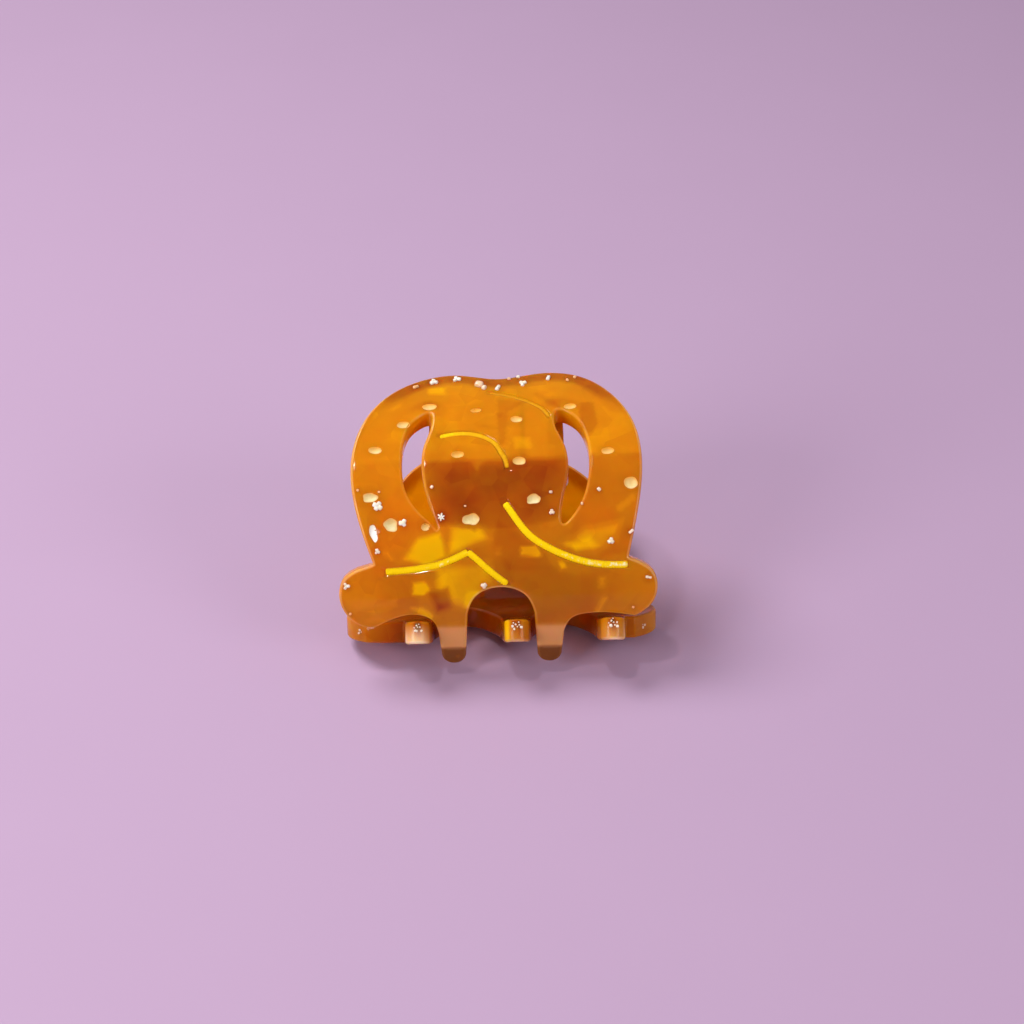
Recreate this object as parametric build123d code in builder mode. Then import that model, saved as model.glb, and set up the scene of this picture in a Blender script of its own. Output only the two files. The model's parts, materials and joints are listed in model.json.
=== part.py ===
from build123d import *
from math import acos, atan2, cos, degrees, radians, sin, sqrt, tan
import os

# A hair claw of two sheets cut in the outline of a pretzel and bent to an arc. The clip lies on
# its back jaw as it would on a table. +X is along its width, -Y is the side of the teeth and +Z
# is up. The origin is under the middle of its bounding box, on the table.

# Sheet
sheet_thickness = 4.0
bend_radius = 35.5        # outer face of the bent sheet
rim_bevel = 0.4           # bevel round the outline and the holes, both faces

# Flat outline, measured along the outer face from the level of the bend's centre. Along is
# positive towards the teeth, and across is to the right when the jaw is seen from outside.
ring_half_width = 26.2
back_ring_half_width = 24.3   # the back ring is narrower, so that the front one covers it
ring_rise = 17.1          # crest of the two top lobes above the bend's centre
waist_along = 22.9        # where the ring meets the crossed ends
end_overhang = 2.3        # how far the two rounded ends of the dough reach beyond the ring
end_foot_along = 34.0     # lower side of the rounded ends
tooth_width = 5.3
tooth_taper = 0.45        # how much each side draws in towards the tip
tooth_tip_along = 43.5
tooth_tip_round = 2.1
hole_half_height = 11.4   # the two crescent holes of the pretzel
hole_middle_along = 5.2
back_hole_half_height = 8.0   # shorter, so that the back jaw shows below the front one's holes
back_hole_middle_along = 8.6

# Teeth and the hollows between them
front_tooth_places = (-0.324, 0.336)   # tooth middles, as shares of the ring's half width
front_middle_arch_along = 27.7      # root of the arch between the two front teeth
front_side_arch_along = 32.8        # roots of the shallow arches beside them
back_tooth_places = (0.568, -0.111, -0.767)
back_arch_along = 25.2              # roots of the two back arches

# Scored lines on the outer face
score_width = 1.1
score_depth = 0.35

# Pose of the two jaws
end_set = 1.7             # from the middle plane to the inner edge of the rounded ends' foot
rest_turn = 24.7          # how far along the back jaw's arc, in degrees, it touches the table

# Hinge
pin_rise = 2.5            # hinge pin above the level of the bends' centres
pin_radius = 1.0
pin_fit = 0.05            # radial clearance of the pin in the knuckles
pin_head_radius = 1.7
pin_head_height = 0.7
knuckle_eye_radius = 3.2
knuckle_foot_height = 11.0
knuckle_thickness = 3.0
side_gap = 0.3            # between parts that turn past each other on the pin
glue_gap = 0.05           # between a knuckle's foot and its jaw
coil_turns = 7
wire_diameter = 1.0
coil_mean_radius = 2.2
sleeve_skin = 0.06        # the plain sleeve of the turns is this much thicker than the wire
leg_rise = 8.5            # where the spring's legs meet the jaws, above the pin
leg_gap = 0.3

end_half_width = ring_half_width + end_overhang
inner_radius = bend_radius - sheet_thickness
centre_set = inner_radius * cos(end_foot_along / bend_radius) - end_set
groove_floor = bend_radius - score_depth
middle_turn = degrees((tooth_tip_along - ring_rise) / 2 / bend_radius)
near_plane = 0.35 * bend_radius     # the cutters run through the sheet between these two planes
far_plane = 1.3 * bend_radius
tube_half_width = end_half_width + 5.0

# One row per point of a ring, from the left waist over the top to the right waist: across as
# a share of the ring's half width, along as a share of the rise or of the waist's place.
RING = (
    (-0.855, 1.00), (-0.935, 0.72), (-1.000, 0.22), (-0.955, -0.10), (-0.765, -0.61),
    (-0.500, -0.91), (-0.270, -0.99), (0.015, -0.90), (0.330, -1.00), (0.560, -0.945),
    (0.785, -0.65), (0.950, -0.18), (0.993, 0.22), (0.945, 0.66), (0.882, 0.985),
)
# One row per point of a rounded end: share of the way from the waist out to the end's side, and
# share of the way from the waist to the foot.
FRONT_RIGHT_END = (
    (0.29, 0.03), (0.79, 0.20), (0.95, 0.49), (0.70, 0.80), (0.20, 0.985),
)
FRONT_LEFT_END = (
    (-0.03, 1.08), (0.30, 1.08), (0.77, 0.90), (1.03, 0.52), (0.89, 0.24), (0.48, 0.08),
)
BACK_RIGHT_END = (
    (0.36, 0.02), (0.83, 0.135), (0.97, 0.39), (0.81, 0.72), (0.44, 0.99),
)
BACK_LEFT_END = (
    (0.47, 1.08), (0.84, 0.76), (1.025, 0.38), (0.90, 0.155), (0.50, 0.04),
)
# Each hole: share of the ring's half width, and share of the hole's half height.
LEFT_HOLE = (
    (-0.455, -0.98), (-0.540, -0.88), (-0.625, -0.55), (-0.650, 0.05), (-0.608, 0.50),
    (-0.520, 0.78), (-0.447, 0.95), (-0.415, 1.03), (-0.430, 0.88), (-0.470, 0.60),
    (-0.507, 0.20), (-0.500, -0.35), (-0.445, -0.78),
)
RIGHT_HOLE = (
    (0.430, -1.00), (0.520, -0.90), (0.605, -0.56), (0.632, 0.00), (0.600, 0.45),
    (0.530, 0.78), (0.440, 0.97), (0.435, 0.70), (0.485, 0.15), (0.465, -0.35), (0.405, -0.75),
)
# Scored lines: share of the ring's half width, and along in shares of the waist's place.
LEFT_CROSSING = ((-0.77, 1.06), (-0.50, 1.035), (-0.21, 0.92))
MIDDLE_CROSSING = ((-0.21, 0.92), (-0.10, 1.02), (0.035, 1.17))
RIGHT_CROSSING = ((0.05, 0.54), (0.20, 0.80), (0.46, 0.97), (0.84, 1.045))
LEFT_CURL = ((-0.385, -0.03), (-0.20, -0.06), (-0.01, 0.03), (0.068, 0.25))
RIGHT_CURL = ((-0.035, -0.48), (0.17, -0.41), (0.345, -0.26))
SCORES = (LEFT_CROSSING, MIDDLE_CROSSING, RIGHT_CROSSING, LEFT_CURL, RIGHT_CURL)


def ring_point(half_width, row):
    """A point of a ring's table in millimetres."""
    across, along = row
    reach = waist_along if along > 0 else ring_rise
    return (across * half_width, along * reach)


def end_point(waist, side, row):
    """A point of a rounded end in millimetres. side is +1 for the right end and -1 for the left."""
    reach, along = row
    span = side * end_half_width - waist
    return (waist + reach * span, waist_along + along * (end_foot_along - waist_along))


def hole_point(half_width, middle_along, half_height, row):
    across, along = row
    return (across * half_width, middle_along + along * half_height)


def score_point(half_width, row):
    across, along = row
    return (across * half_width, along * waist_along)


def tooth_lines(middle, right_root, left_root):
    """A tooth's two sides and its round tip, from its right root to its left root."""
    half = tooth_width / 2
    tip_half = half - tooth_taper
    shoulder = tooth_tip_along - tooth_tip_round
    Line((middle + half, right_root), (middle + tip_half, shoulder))
    ThreePointArc((middle + tip_half, shoulder), (middle, tooth_tip_along), (middle - tip_half, shoulder))
    Line((middle - tip_half, shoulder), (middle - half, left_root))


def arch_line(right, left, root, side):
    """The hollow between two teeth, from the right one's side over its root to the left one's."""
    span = right - left
    rise = side - root
    Spline(
        (right, side),
        (right - 0.11 * span, root + 0.38 * rise),
        (right - 0.5 * span, root),
        (left + 0.11 * span, root + 0.38 * rise),
        (left, side),
    )


def front_foot(start, end):
    """The lower side of the front jaw, between its rounded ends: two teeth."""
    half = tooth_width / 2
    side = front_middle_arch_along + 5.0
    left, right = (place * ring_half_width for place in front_tooth_places)
    Spline(start, (right + half + 4.2, front_side_arch_along + 0.3),
           (right + half + 1.2, front_side_arch_along + 1.4), (right + half, front_side_arch_along + 3.8))
    tooth_lines(right, front_side_arch_along + 3.8, side)
    arch_line(right - half, left + half, front_middle_arch_along, side)
    tooth_lines(left, side, front_side_arch_along + 3.8)
    Spline((left - half, front_side_arch_along + 3.8), (left - half - 1.1, front_side_arch_along + 1.1),
           (left - half - 3.3, front_side_arch_along), end)


def back_foot(start, end):
    """The lower side of the back jaw, between its rounded ends: three teeth."""
    half = tooth_width / 2
    side = end_foot_along + 3.0
    shelf = end_foot_along + 0.8
    right, middle, left = (place * ring_half_width for place in back_tooth_places)
    Spline(start, ((start[0] + right + half) / 2, shelf), (right + half, shelf))
    tooth_lines(right, shelf, side)
    arch_line(right - half, middle + half, back_arch_along, side)
    tooth_lines(middle, side, side)
    arch_line(middle - half, left + half, back_arch_along, side)
    tooth_lines(left, side, shelf)
    Line((left - half, shelf), end)


def flat_outline(half_width, right_rows, left_rows, foot):
    """The edges of the whole flat outline, in order."""
    with BuildLine() as outline:
        ring = [ring_point(half_width, row) for row in RING]
        right_end = [end_point(ring[-1][0], 1, row) for row in right_rows]
        left_end = [end_point(ring[0][0], -1, row) for row in left_rows]
        Spline(*ring)
        Line(ring[-1], right_end[0])
        Spline(*right_end)
        foot(right_end[-1], left_end[0])
        Spline(*left_end)
        Line(left_end[-1], ring[0])
    return outline.wire().order_edges()


def flat_hole(half_width, middle_along, half_height, rows):
    with BuildLine() as outline:
        Spline(*[hole_point(half_width, middle_along, half_height, row) for row in rows], periodic=True)
    return outline.edges()


def flat_score(half_width, rows):
    """A scored line as a strip: its middle line moved half the width to each side."""
    with BuildLine() as line:
        Spline(*[score_point(half_width, row) for row in rows])
    middle = line.edge()
    steps = 8
    sides = []
    for sign in (1, -1):
        side = []
        for step in range(steps + 1):
            spot = middle.position_at(step / steps)
            run = middle.tangent_at(step / steps)
            side.append((spot.X - sign * run.Y * score_width / 2, spot.Y + sign * run.X * score_width / 2))
        sides.append(side)
    with BuildLine() as strip:
        Spline(*sides[0])
        Line(sides[0][-1], sides[1][-1])
        Spline(*reversed(sides[1]))
        Line(sides[1][0], sides[0][0])
    return strip.wire().order_edges()


def on_plane(spot, distance):
    """Where the ray through a flat point, straight out of the bend's axis, meets a plane."""
    turn = radians(degrees(spot.Y / bend_radius) - middle_turn)
    return (spot.X, -distance * tan(turn))


def through_cut(plane, edges):
    """A solid through the bent sheet whose walls follow the flat edges and stand square to it."""
    with BuildPart() as cut:
        for distance in (near_plane, far_plane):
            with BuildSketch(plane.offset(distance)):
                with BuildLine():
                    for edge in edges:
                        if edge.is_closed:
                            spots = [on_plane(edge.position_at(step / 24), distance) for step in range(24)]
                            Spline(*spots, periodic=True)
                        else:
                            steps = 3 if edge.geom_type == GeomType.LINE else 12
                            spots = [on_plane(edge.position_at(step / steps), distance)
                                     for step in range(steps + 1)]
                            Spline(*spots)
                make_face()
        loft(ruled=True)
    return cut.part


def bent_sheet(centre, outer, inner):
    """A tube about a bend's axis, as wide as the jaw and a little more."""
    with BuildPart() as tube:
        with BuildSketch(Plane.YZ.offset(-tube_half_width)):
            with Locations((centre.Y, centre.Z)):
                Circle(outer)
                Circle(inner, mode=Mode.SUBTRACT)
        extrude(amount=2 * tube_half_width)
    return tube.part


def bent_rims(jaw):
    """The edges round the two bent faces of a jaw."""
    faces = jaw.faces().filter_by(GeomType.CYLINDER).sort_by(SortBy.AREA)[-2:]
    return faces[0].edges() + faces[1].edges()


def score_cut(plane, centre, strip):
    """A shallow groove of even depth along a scored line of a bent face."""
    with BuildPart() as cut:
        add(through_cut(plane, strip))
        add(bent_sheet(centre, bend_radius + 1.0, groove_floor), mode=Mode.INTERSECT)
    return cut.part


def knuckle(side, sheet_side, inside, outside):
    """A knuckle plate on the hinge pin: an eye, and a foot that widens to the jaw it is glued to.

    side is +1 for the right and -1 for the left, sheet_side +1 for the front jaw and -1 for the
    back one, and inside and outside are the plate's two faces along the pin.
    """
    reach = bend_radius - centre_set
    foot = knuckle_foot_height / 2
    with BuildPart() as plate:
        with BuildSketch(hinge_plane.offset(-max(side * inside, side * outside))):
            Circle(knuckle_eye_radius)
            with BuildLine():
                Polyline(
                    (0, knuckle_eye_radius),
                    (sheet_side * reach, foot),
                    (sheet_side * reach, -foot),
                    (0, -knuckle_eye_radius),
                    close=True,
                )
            make_face()
            with Locations((-sheet_side * centre_set, -pin_rise)):
                Circle(inner_radius - glue_gap, mode=Mode.INTERSECT)
            Circle(pin_radius + pin_fit, mode=Mode.SUBTRACT)
        extrude(amount=outside - inside)
    return plate.part


def spring_leg(sheet_side, middle):
    """A straight wire that leaves the top of the coil and ends just short of a jaw."""
    foot_ring = inner_radius - leg_gap - wire_diameter / 2
    foot_u = leg_rise
    foot_f = sheet_side * (sqrt(foot_ring ** 2 - (leg_rise + pin_rise) ** 2) - centre_set)
    spread = acos(coil_mean_radius / sqrt(foot_f ** 2 + foot_u ** 2))
    leaving = atan2(foot_u, foot_f) + sheet_side * spread
    start = hinge_plane.from_local_coords(
        Vector(coil_mean_radius * cos(leaving), coil_mean_radius * sin(leaving), -middle)
    )
    end = hinge_plane.from_local_coords(Vector(foot_f, foot_u, -middle))
    with BuildPart() as leg:
        with BuildSketch(Plane(origin=start, x_dir=(1, 0, 0), z_dir=end - start)):
            Circle(wire_diameter / 2)
        extrude(amount=(end - start).length)
    return leg.part


def wire_sleeve(start, end):
    """The turns of the spring as a plain sleeve round the pin, between two places along it."""
    wall = wire_diameter / 2 + sleeve_skin
    with BuildPart() as sleeve:
        with BuildSketch(hinge_plane.offset(-end)):
            Circle(coil_mean_radius + wall)
            Circle(coil_mean_radius - wall, mode=Mode.SUBTRACT)
        extrude(amount=end - start)
    return sleeve.part


# Where things are when the clip lies on its back jaw. out is square to the middle plane, towards
# the front jaw, and up_jaw runs in the middle plane from the teeth to the handles.
turn = radians(rest_turn)
out = Vector(0, -sin(turn), cos(turn))
up_jaw = Vector(0, cos(turn), sin(turn))
handle_reach = bend_radius * sin((ring_rise - rim_bevel) / bend_radius + turn)
tooth_reach = bend_radius * sin((tooth_tip_along - rim_bevel) / bend_radius - turn)
back_centre = Vector(0, (tooth_reach - handle_reach) / 2, bend_radius)
front_centre = back_centre - out * (2 * centre_set)
pin_centre = (back_centre + front_centre) * 0.5 + up_jaw * pin_rise
middle = radians(middle_turn)
front_plane = Plane(origin=front_centre, x_dir=(1, 0, 0), z_dir=out * cos(middle) - up_jaw * sin(middle))
back_plane = Plane(origin=back_centre, x_dir=(-1, 0, 0), z_dir=out * -cos(middle) - up_jaw * sin(middle))
hinge_plane = Plane(origin=pin_centre, x_dir=out, z_dir=(-1, 0, 0))

# Places along the pin, from the middle outwards: coil, end turn, back knuckles, front knuckles.
coil_half = coil_turns * wire_diameter * 1.15 / 2
turn_start = coil_half + side_gap
turn_end = turn_start + wire_diameter + 2 * sleeve_skin
back_knuckle_start = turn_end + 0.5
back_knuckle_end = back_knuckle_start + knuckle_thickness
front_knuckle_start = back_knuckle_end + side_gap
front_knuckle_end = front_knuckle_start + knuckle_thickness
head_start = front_knuckle_end + side_gap
head_end = head_start + pin_head_height

# Front jaw
with BuildPart() as front_jaw:
    add(bent_sheet(front_centre, bend_radius, inner_radius))
    front_edges = flat_outline(ring_half_width, FRONT_RIGHT_END, FRONT_LEFT_END, front_foot)
    add(through_cut(front_plane, front_edges), mode=Mode.INTERSECT)
    for rows in (LEFT_HOLE, RIGHT_HOLE):
        hole = flat_hole(ring_half_width, hole_middle_along, hole_half_height, rows)
        add(through_cut(front_plane, hole), mode=Mode.SUBTRACT)
    chamfer(bent_rims(front_jaw), length=rim_bevel)
    for rows in SCORES:
        add(score_cut(front_plane, front_centre, flat_score(ring_half_width, rows)), mode=Mode.SUBTRACT)

# Back jaw
with BuildPart() as back_jaw:
    add(bent_sheet(back_centre, bend_radius, inner_radius))
    back_edges = flat_outline(back_ring_half_width, BACK_RIGHT_END, BACK_LEFT_END, back_foot)
    add(through_cut(back_plane, back_edges), mode=Mode.INTERSECT)
    for rows in (LEFT_HOLE, RIGHT_HOLE):
        hole = flat_hole(back_ring_half_width, back_hole_middle_along, back_hole_half_height, rows)
        add(through_cut(back_plane, hole), mode=Mode.SUBTRACT)
    chamfer(bent_rims(back_jaw), length=rim_bevel)
    for rows in SCORES:
        add(score_cut(back_plane, back_centre, flat_score(back_ring_half_width, rows)), mode=Mode.SUBTRACT)

# Knuckles, two inside each jaw
with BuildPart() as front_knuckle_right:
    add(knuckle(1, 1, front_knuckle_start, front_knuckle_end))

with BuildPart() as front_knuckle_left:
    add(knuckle(-1, 1, front_knuckle_start, front_knuckle_end))

with BuildPart() as back_knuckle_right:
    add(knuckle(1, -1, back_knuckle_start, back_knuckle_end))

with BuildPart() as back_knuckle_left:
    add(knuckle(-1, -1, back_knuckle_start, back_knuckle_end))

# Hinge pin with a head at each end
with BuildPart() as hinge_pin:
    with BuildSketch(hinge_plane.offset(-head_start)):
        Circle(pin_radius)
    extrude(amount=2 * head_start)
    for place in (-head_end, head_start):
        with BuildSketch(hinge_plane.offset(place)):
            Circle(pin_head_radius)
        extrude(amount=pin_head_height)

# Spring: the coil with its back leg, and the end turn with the front leg
with BuildPart() as hinge_spring:
    add(wire_sleeve(-coil_half, coil_half))
    add(spring_leg(-1, -coil_half + wire_diameter / 2 + sleeve_skin))

with BuildPart() as spring_front_leg:
    add(wire_sleeve(turn_start, turn_end))
    add(spring_leg(1, (turn_start + turn_end) / 2))

os.makedirs("parts", exist_ok=True)
front_jaw.part.label = "front_jaw"
export_step(front_jaw.part, "parts/front_jaw.step")
back_jaw.part.label = "back_jaw"
export_step(back_jaw.part, "parts/back_jaw.step")
front_knuckle_right.part.label = "front_knuckle_right"
export_step(front_knuckle_right.part, "parts/front_knuckle_right.step")
front_knuckle_left.part.label = "front_knuckle_left"
export_step(front_knuckle_left.part, "parts/front_knuckle_left.step")
back_knuckle_right.part.label = "back_knuckle_right"
export_step(back_knuckle_right.part, "parts/back_knuckle_right.step")
back_knuckle_left.part.label = "back_knuckle_left"
export_step(back_knuckle_left.part, "parts/back_knuckle_left.step")
hinge_pin.part.label = "hinge_pin"
export_step(hinge_pin.part, "parts/hinge_pin.step")
hinge_spring.part.label = "hinge_spring"
export_step(hinge_spring.part, "parts/hinge_spring.step")
spring_front_leg.part.label = "spring_front_leg"
export_step(spring_front_leg.part, "parts/spring_front_leg.step")
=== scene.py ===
"""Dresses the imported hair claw: two bent sheets in a pretzel's outline, their scored lines and
salt, the hinge between them, and the stage that they are seen on."""

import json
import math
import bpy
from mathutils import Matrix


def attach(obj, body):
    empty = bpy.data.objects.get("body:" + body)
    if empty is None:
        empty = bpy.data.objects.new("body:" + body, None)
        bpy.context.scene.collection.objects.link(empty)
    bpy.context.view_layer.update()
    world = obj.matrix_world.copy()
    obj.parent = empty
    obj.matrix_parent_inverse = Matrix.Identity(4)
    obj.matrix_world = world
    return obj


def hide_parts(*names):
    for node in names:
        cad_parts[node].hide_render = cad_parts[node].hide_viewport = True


bl_info = {
    "name": "Pretzel hair claw",
    "version": (1, 0, 0),
    "blender": (4, 5, 0),
    "location": "View3D > Sidebar > Hair claw",
    "description": "Makes the jaws, scored lines, salt and hinge of a pretzel hair claw",
    "category": "Mesh",
}

import bpy
import numpy as np
from mathutils import Matrix, Vector
from mathutils.geometry import delaunay_2d_cdt

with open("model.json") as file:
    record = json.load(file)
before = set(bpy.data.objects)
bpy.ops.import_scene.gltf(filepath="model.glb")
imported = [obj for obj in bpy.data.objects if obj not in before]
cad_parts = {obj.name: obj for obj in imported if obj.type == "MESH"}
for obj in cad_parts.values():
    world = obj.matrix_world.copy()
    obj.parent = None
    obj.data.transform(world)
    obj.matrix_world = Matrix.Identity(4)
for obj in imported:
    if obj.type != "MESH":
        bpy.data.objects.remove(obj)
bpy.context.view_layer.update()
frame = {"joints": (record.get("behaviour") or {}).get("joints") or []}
MM = 0.001

# The clip lies on its back jaw, turned by this much from upright. Its middle plane holds UP, and
# the front jaw lies beyond it on the side of OUT.
REST_TURN = math.radians(24.7)
OUT = np.array([0.0, -math.sin(REST_TURN), math.cos(REST_TURN)])
UP = np.array([0.0, math.cos(REST_TURN), math.sin(REST_TURN)])
ACROSS = np.array([1.0, 0.0, 0.0])
PIN = np.array(frame["joints"][0]["pos_m"], dtype=float)
PIN_RISE = 2.5 * MM
MIDDLE = PIN - UP * PIN_RISE

# Flat outline of a jaw in millimetres: across, and along from the level of the bend's centre,
# positive towards the handle. Each run goes on where the one before it ends.
RING = [
    (-22.4, -22.9), (-24.5, -16.5), (-26.2, -5.04), (-25.02, 1.71), (-20.04, 10.43), (-13.1, 15.56),
    (-7.07, 16.93), (0.39, 15.39), (8.65, 17.1), (14.67, 16.16), (20.57, 11.11), (24.89, 3.08),
    (26.02, -5.04), (24.76, -15.11), (23.11, -22.56),
]
FRONT_RIGHT_END = [(24.67, -23.2), (27.37, -25.1), (28.23, -28.3), (26.88, -31.8), (24.19, -33.8)]
FRONT_LEFT_END = [
    (-22.22, -34.9), (-24.23, -34.9), (-27.1, -32.9), (-28.68, -28.7), (-27.83, -25.6), (-25.33, -23.8),
]
BACK_RIGHT_END = [(23.98, -23.1), (27.3, -24.4), (28.29, -27.2), (27.16, -30.9), (24.54, -33.9)]
BACK_LEFT_END = [(-24.41, -34.9), (-27.26, -31.3), (-28.69, -27.1), (-27.73, -24.6), (-24.64, -23.3)]
# The back ring is narrower, so that the front one covers it.
BACK_SHARE = 24.3 / 26.2
FRONT_TEETH = [-8.49, 8.80]
BACK_TEETH = [14.88, -2.91, -20.1]
TOOTH_HALF = 2.65
TOOTH_TIP_HALF = 2.2
TOOTH_TIP = -43.5
TOOTH_SHOULDER = -41.4
# Where the teeth begin at their outer sides and at the hollows between them, and the hollows' tops.
FRONT_ROOT = -36.6
FRONT_INNER_ROOT = -32.7
FRONT_ARCH = -27.7
BACK_ROOT = -34.8
BACK_INNER_ROOT = -37.0
BACK_ARCH = -25.2
LEFT_HOLE = [
    (-11.92, 5.97), (-14.15, 4.83), (-16.38, 1.07), (-17.03, -5.77), (-15.93, -10.9), (-13.62, -14.09),
    (-11.71, -16.03), (-10.87, -16.94), (-11.27, -15.23), (-12.31, -12.04), (-13.28, -7.48),
    (-13.1, -1.21), (-11.66, 3.69),
]
RIGHT_HOLE = [
    (11.27, 6.2), (13.62, 5.06), (15.85, 1.18), (16.56, -5.2), (15.72, -10.33), (13.89, -14.09),
    (11.53, -16.26), (11.4, -13.18), (12.71, -6.91), (12.18, -1.21), (10.61, 3.35),
]
HOLE_MIDDLE = -5.2
# The back jaw's holes are shorter, so that it shows below the front one's.
BACK_HOLE_MIDDLE = -8.6
BACK_HOLE_SHARE = 8.0 / 11.4
# Scored lines of the crossed dough, on the outer face of each jaw.
SCORES = [
    [(-20.2, -24.3), (-16.7, -24.1), (-13.2, -23.7), (-10.5, -23.1), (-7.8, -22.1), (-5.5, -21.0)],
    [(-5.5, -21.0), (-3.4, -22.9), (-0.8, -25.3), (1.4, -27.0)],
    [(1.3, -12.4), (3.0, -15.0), (5.6, -18.3), (8.8, -20.5), (12.6, -22.3), (17.9, -23.7),
     (22.9, -23.9)],
    [(-10.1, 0.7), (-8.3, 1.1), (-6.5, 1.3), (-3.8, 1.0), (-2.0, 0.3), (-0.2, -1.0), (0.7, -2.6),
     (1.5, -4.2), (1.8, -5.8)],
    [(-0.9, 11.0), (1.8, 10.3), (4.5, 9.2), (7.2, 7.6), (8.8, 6.1), (9.6, 4.7)],
]
# Each line's brightness at its start and its end, and its share of the score width. The brightness
# is partly the line's own fill and partly painted light, bright in the lower lines and dim above.
SCORE_LOOKS = [
    (0.80, 0.90, 1.0), (0.84, 0.80, 0.95), (0.78, 0.95, 1.0), (0.66, 0.24, 0.72), (0.04, 0.22, 0.6),
]
# Salt: across, along, width, height, lean in radians, and how much amber is mixed into its cream.
# Below nothing is white.
SALT = [
    (-12.0, 7.5, 2.6, 1.5, 0.0, 0.35), (-16.7, 3.4, 2.3, 1.5, 0.05, 0.3),
    (-21.8, -1.9, 2.4, 1.4, -0.05, 0.3), (-3.6, 6.4, 2.0, 0.9, 0.05, 0.75),
    (-7.0, -3.1, 2.3, 1.3, 0.0, 0.6), (-22.7, -10.9, 2.5, 1.8, 0.1, 0.05),
    (-19.1, -15.9, 2.5, 2.3, 0.0, 0.05), (-12.95, -16.4, 1.6, 1.3, 0.0, 0.35),
    (-4.8, -15.2, 2.9, 2.1, 0.0, 0.1), (3.7, 4.1, 2.1, 1.4, -0.05, 0.4),
    (13.5, 6.9, 2.3, 1.3, 0.1, 0.5), (19.9, -3.0, 2.3, 1.3, 0.05, 0.5),
    (4.0, -4.6, 2.3, 1.6, -0.05, 0.4), (23.8, -9.2, 2.4, 2.2, 0.15, 0.25),
    (6.4, -11.8, 2.6, 1.7, 0.1, 0.05), (-22.2, -17.3, 1.25, 3.2, 0.28, -1.0),
]
# Crumbs of salt: across, along, height over the outer face, spread of the crumbs, their size, how
# many they are and how much amber they take up. They sit where the clip sparkles: partly salt, and
# partly pale stand-ins for glints, painted highlights.
FRONT_CRUMBS_AND_GLINTS = [
    (-11.2, 14.4, 0.0, 0.55, 0.66, 3, 0.0), (-7.0, 15.2, 0.0, 0.50, 0.66, 3, 0.0),
    (-2.9, 13.2, 0.0, 0.0, 1.15, 1, 0.45), (-2.0, 12.3, 0.0, 0.0, 0.80, 1, 0.35),
    (0.5, 12.2, 0.0, 0.40, 0.75, 2, 0.05), (2.6, 14.9, 0.0, 0.0, 0.55, 1, 0.6),
    (4.3, 15.5, 0.0, 0.0, 0.50, 1, 0.1), (5.1, 13.4, 0.0, 0.50, 0.66, 3, 0.0),
    (9.8, 14.9, 0.0, 0.45, 0.66, 2, 0.0), (-14.5, 13.0, 0.0, 0.35, 0.55, 2, 0.75),
    (14.7, 15.0, 0.0, 0.0, 0.50, 1, 0.7), (13.3, 14.1, 0.0, 0.0, 0.50, 1, 0.75),
    (-21.4, -12.5, 0.0, 0.60, 0.75, 4, 0.0), (-16.9, -15.6, 0.0, 0.50, 0.68, 3, 0.0),
    (-10.1, -14.7, 0.0, 0.55, 0.52, 6, 0.0), (-11.7, -9.2, 0.0, 0.0, 0.58, 1, 0.4),
    (-27.3, -26.7, 0.0, 0.45, 0.55, 3, 0.1), (20.0, -19.6, 0.0, 0.35, 0.62, 3, 0.1),
    (23.6, -18.0, 0.0, 0.35, 0.50, 2, 0.3), (18.1, -10.3, 0.0, 0.0, 0.55, 1, 0.35),
    (9.5, -10.6, 0.0, 0.0, 0.50, 1, 0.4), (9.6, -14.2, 0.0, 0.25, 0.55, 3, 0.3),
    (15.0, -12.8, 0.0, 0.0, 0.42, 1, 0.5), (26.6, -26.3, 0.0, 0.35, 0.50, 2, 0.2),
    (-2.8, -27.2, 0.0, 0.25, 0.60, 3, 0.25), (-21.6, -20.6, 0.0, 0.30, 0.50, 3, 0.15),
    (-24.9, -9.5, 0.0, 0.0, 0.40, 1, 0.7), (-21.1, -9.9, 0.0, 0.0, 0.38, 1, 0.6),
    (-5.8, -12.8, 0.0, 0.0, 0.36, 1, 0.6), (23.8, -31.9, 0.0, 0.0, 0.42, 1, 0.7),
    (-26.8, -32.0, 0.0, 0.0, 0.42, 1, 0.7),
]
# Crumbs on the round ends of the back teeth: aside from the tooth's middle, height over the outer
# face and size, tooth by tooth. Partly salt, and partly golden stand-ins for the glints on the ends,
# painted highlights.
END_CRUMBS_AND_GLINTS = [
    [(0.10, -3.2, 0.28), (-0.10, -2.9, 0.24), (0.35, -2.3, 0.42), (0.05, -2.2, 0.30), (-0.75, -2.25, 0.36),
     (-0.50, -2.9, 0.20), (0.50, -2.8, 0.20), (-0.30, -3.4, 0.18)],
    [(0.75, -2.7, 0.40), (0.45, -2.2, 0.40), (0.20, -3.0, 0.30), (-0.10, -2.6, 0.24), (-0.45, -2.9, 0.26),
     (-0.80, -2.5, 0.40), (-0.35, -3.4, 0.20), (0.60, -3.3, 0.22)],
    [(0.40, -2.4, 0.46), (0.30, -3.3, 0.30), (-0.10, -3.0, 0.24), (-0.30, -2.5, 0.26), (-0.75, -2.3, 0.40),
     (-0.70, -3.0, 0.24), (0.75, -2.9, 0.20), (0.00, -3.7, 0.18)],
]
BACK_CRUMBS_AND_GLINTS = FRONT_CRUMBS_AND_GLINTS[:8] + [
    (-26.0, -33.1, -2.0, 0.45, 0.36, 3, 0.3), (25.6, -33.0, -2.0, 0.45, 0.36, 3, 0.3),
    (8.0, -5.0, 0.0, 0.50, 0.60, 3, 0.1),
]
BACK_CRUMBS_AND_GLINTS += [
    (middle + x, TOOTH_TIP + TOOTH_TIP_HALF - math.sqrt(TOOTH_TIP_HALF ** 2 - x ** 2),
     high, 0.0, size, 1, 0.12)
    for middle, crumbs_and_glints in zip(BACK_TEETH, END_CRUMBS_AND_GLINTS) for x, high, size in crumbs_and_glints
]
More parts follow.
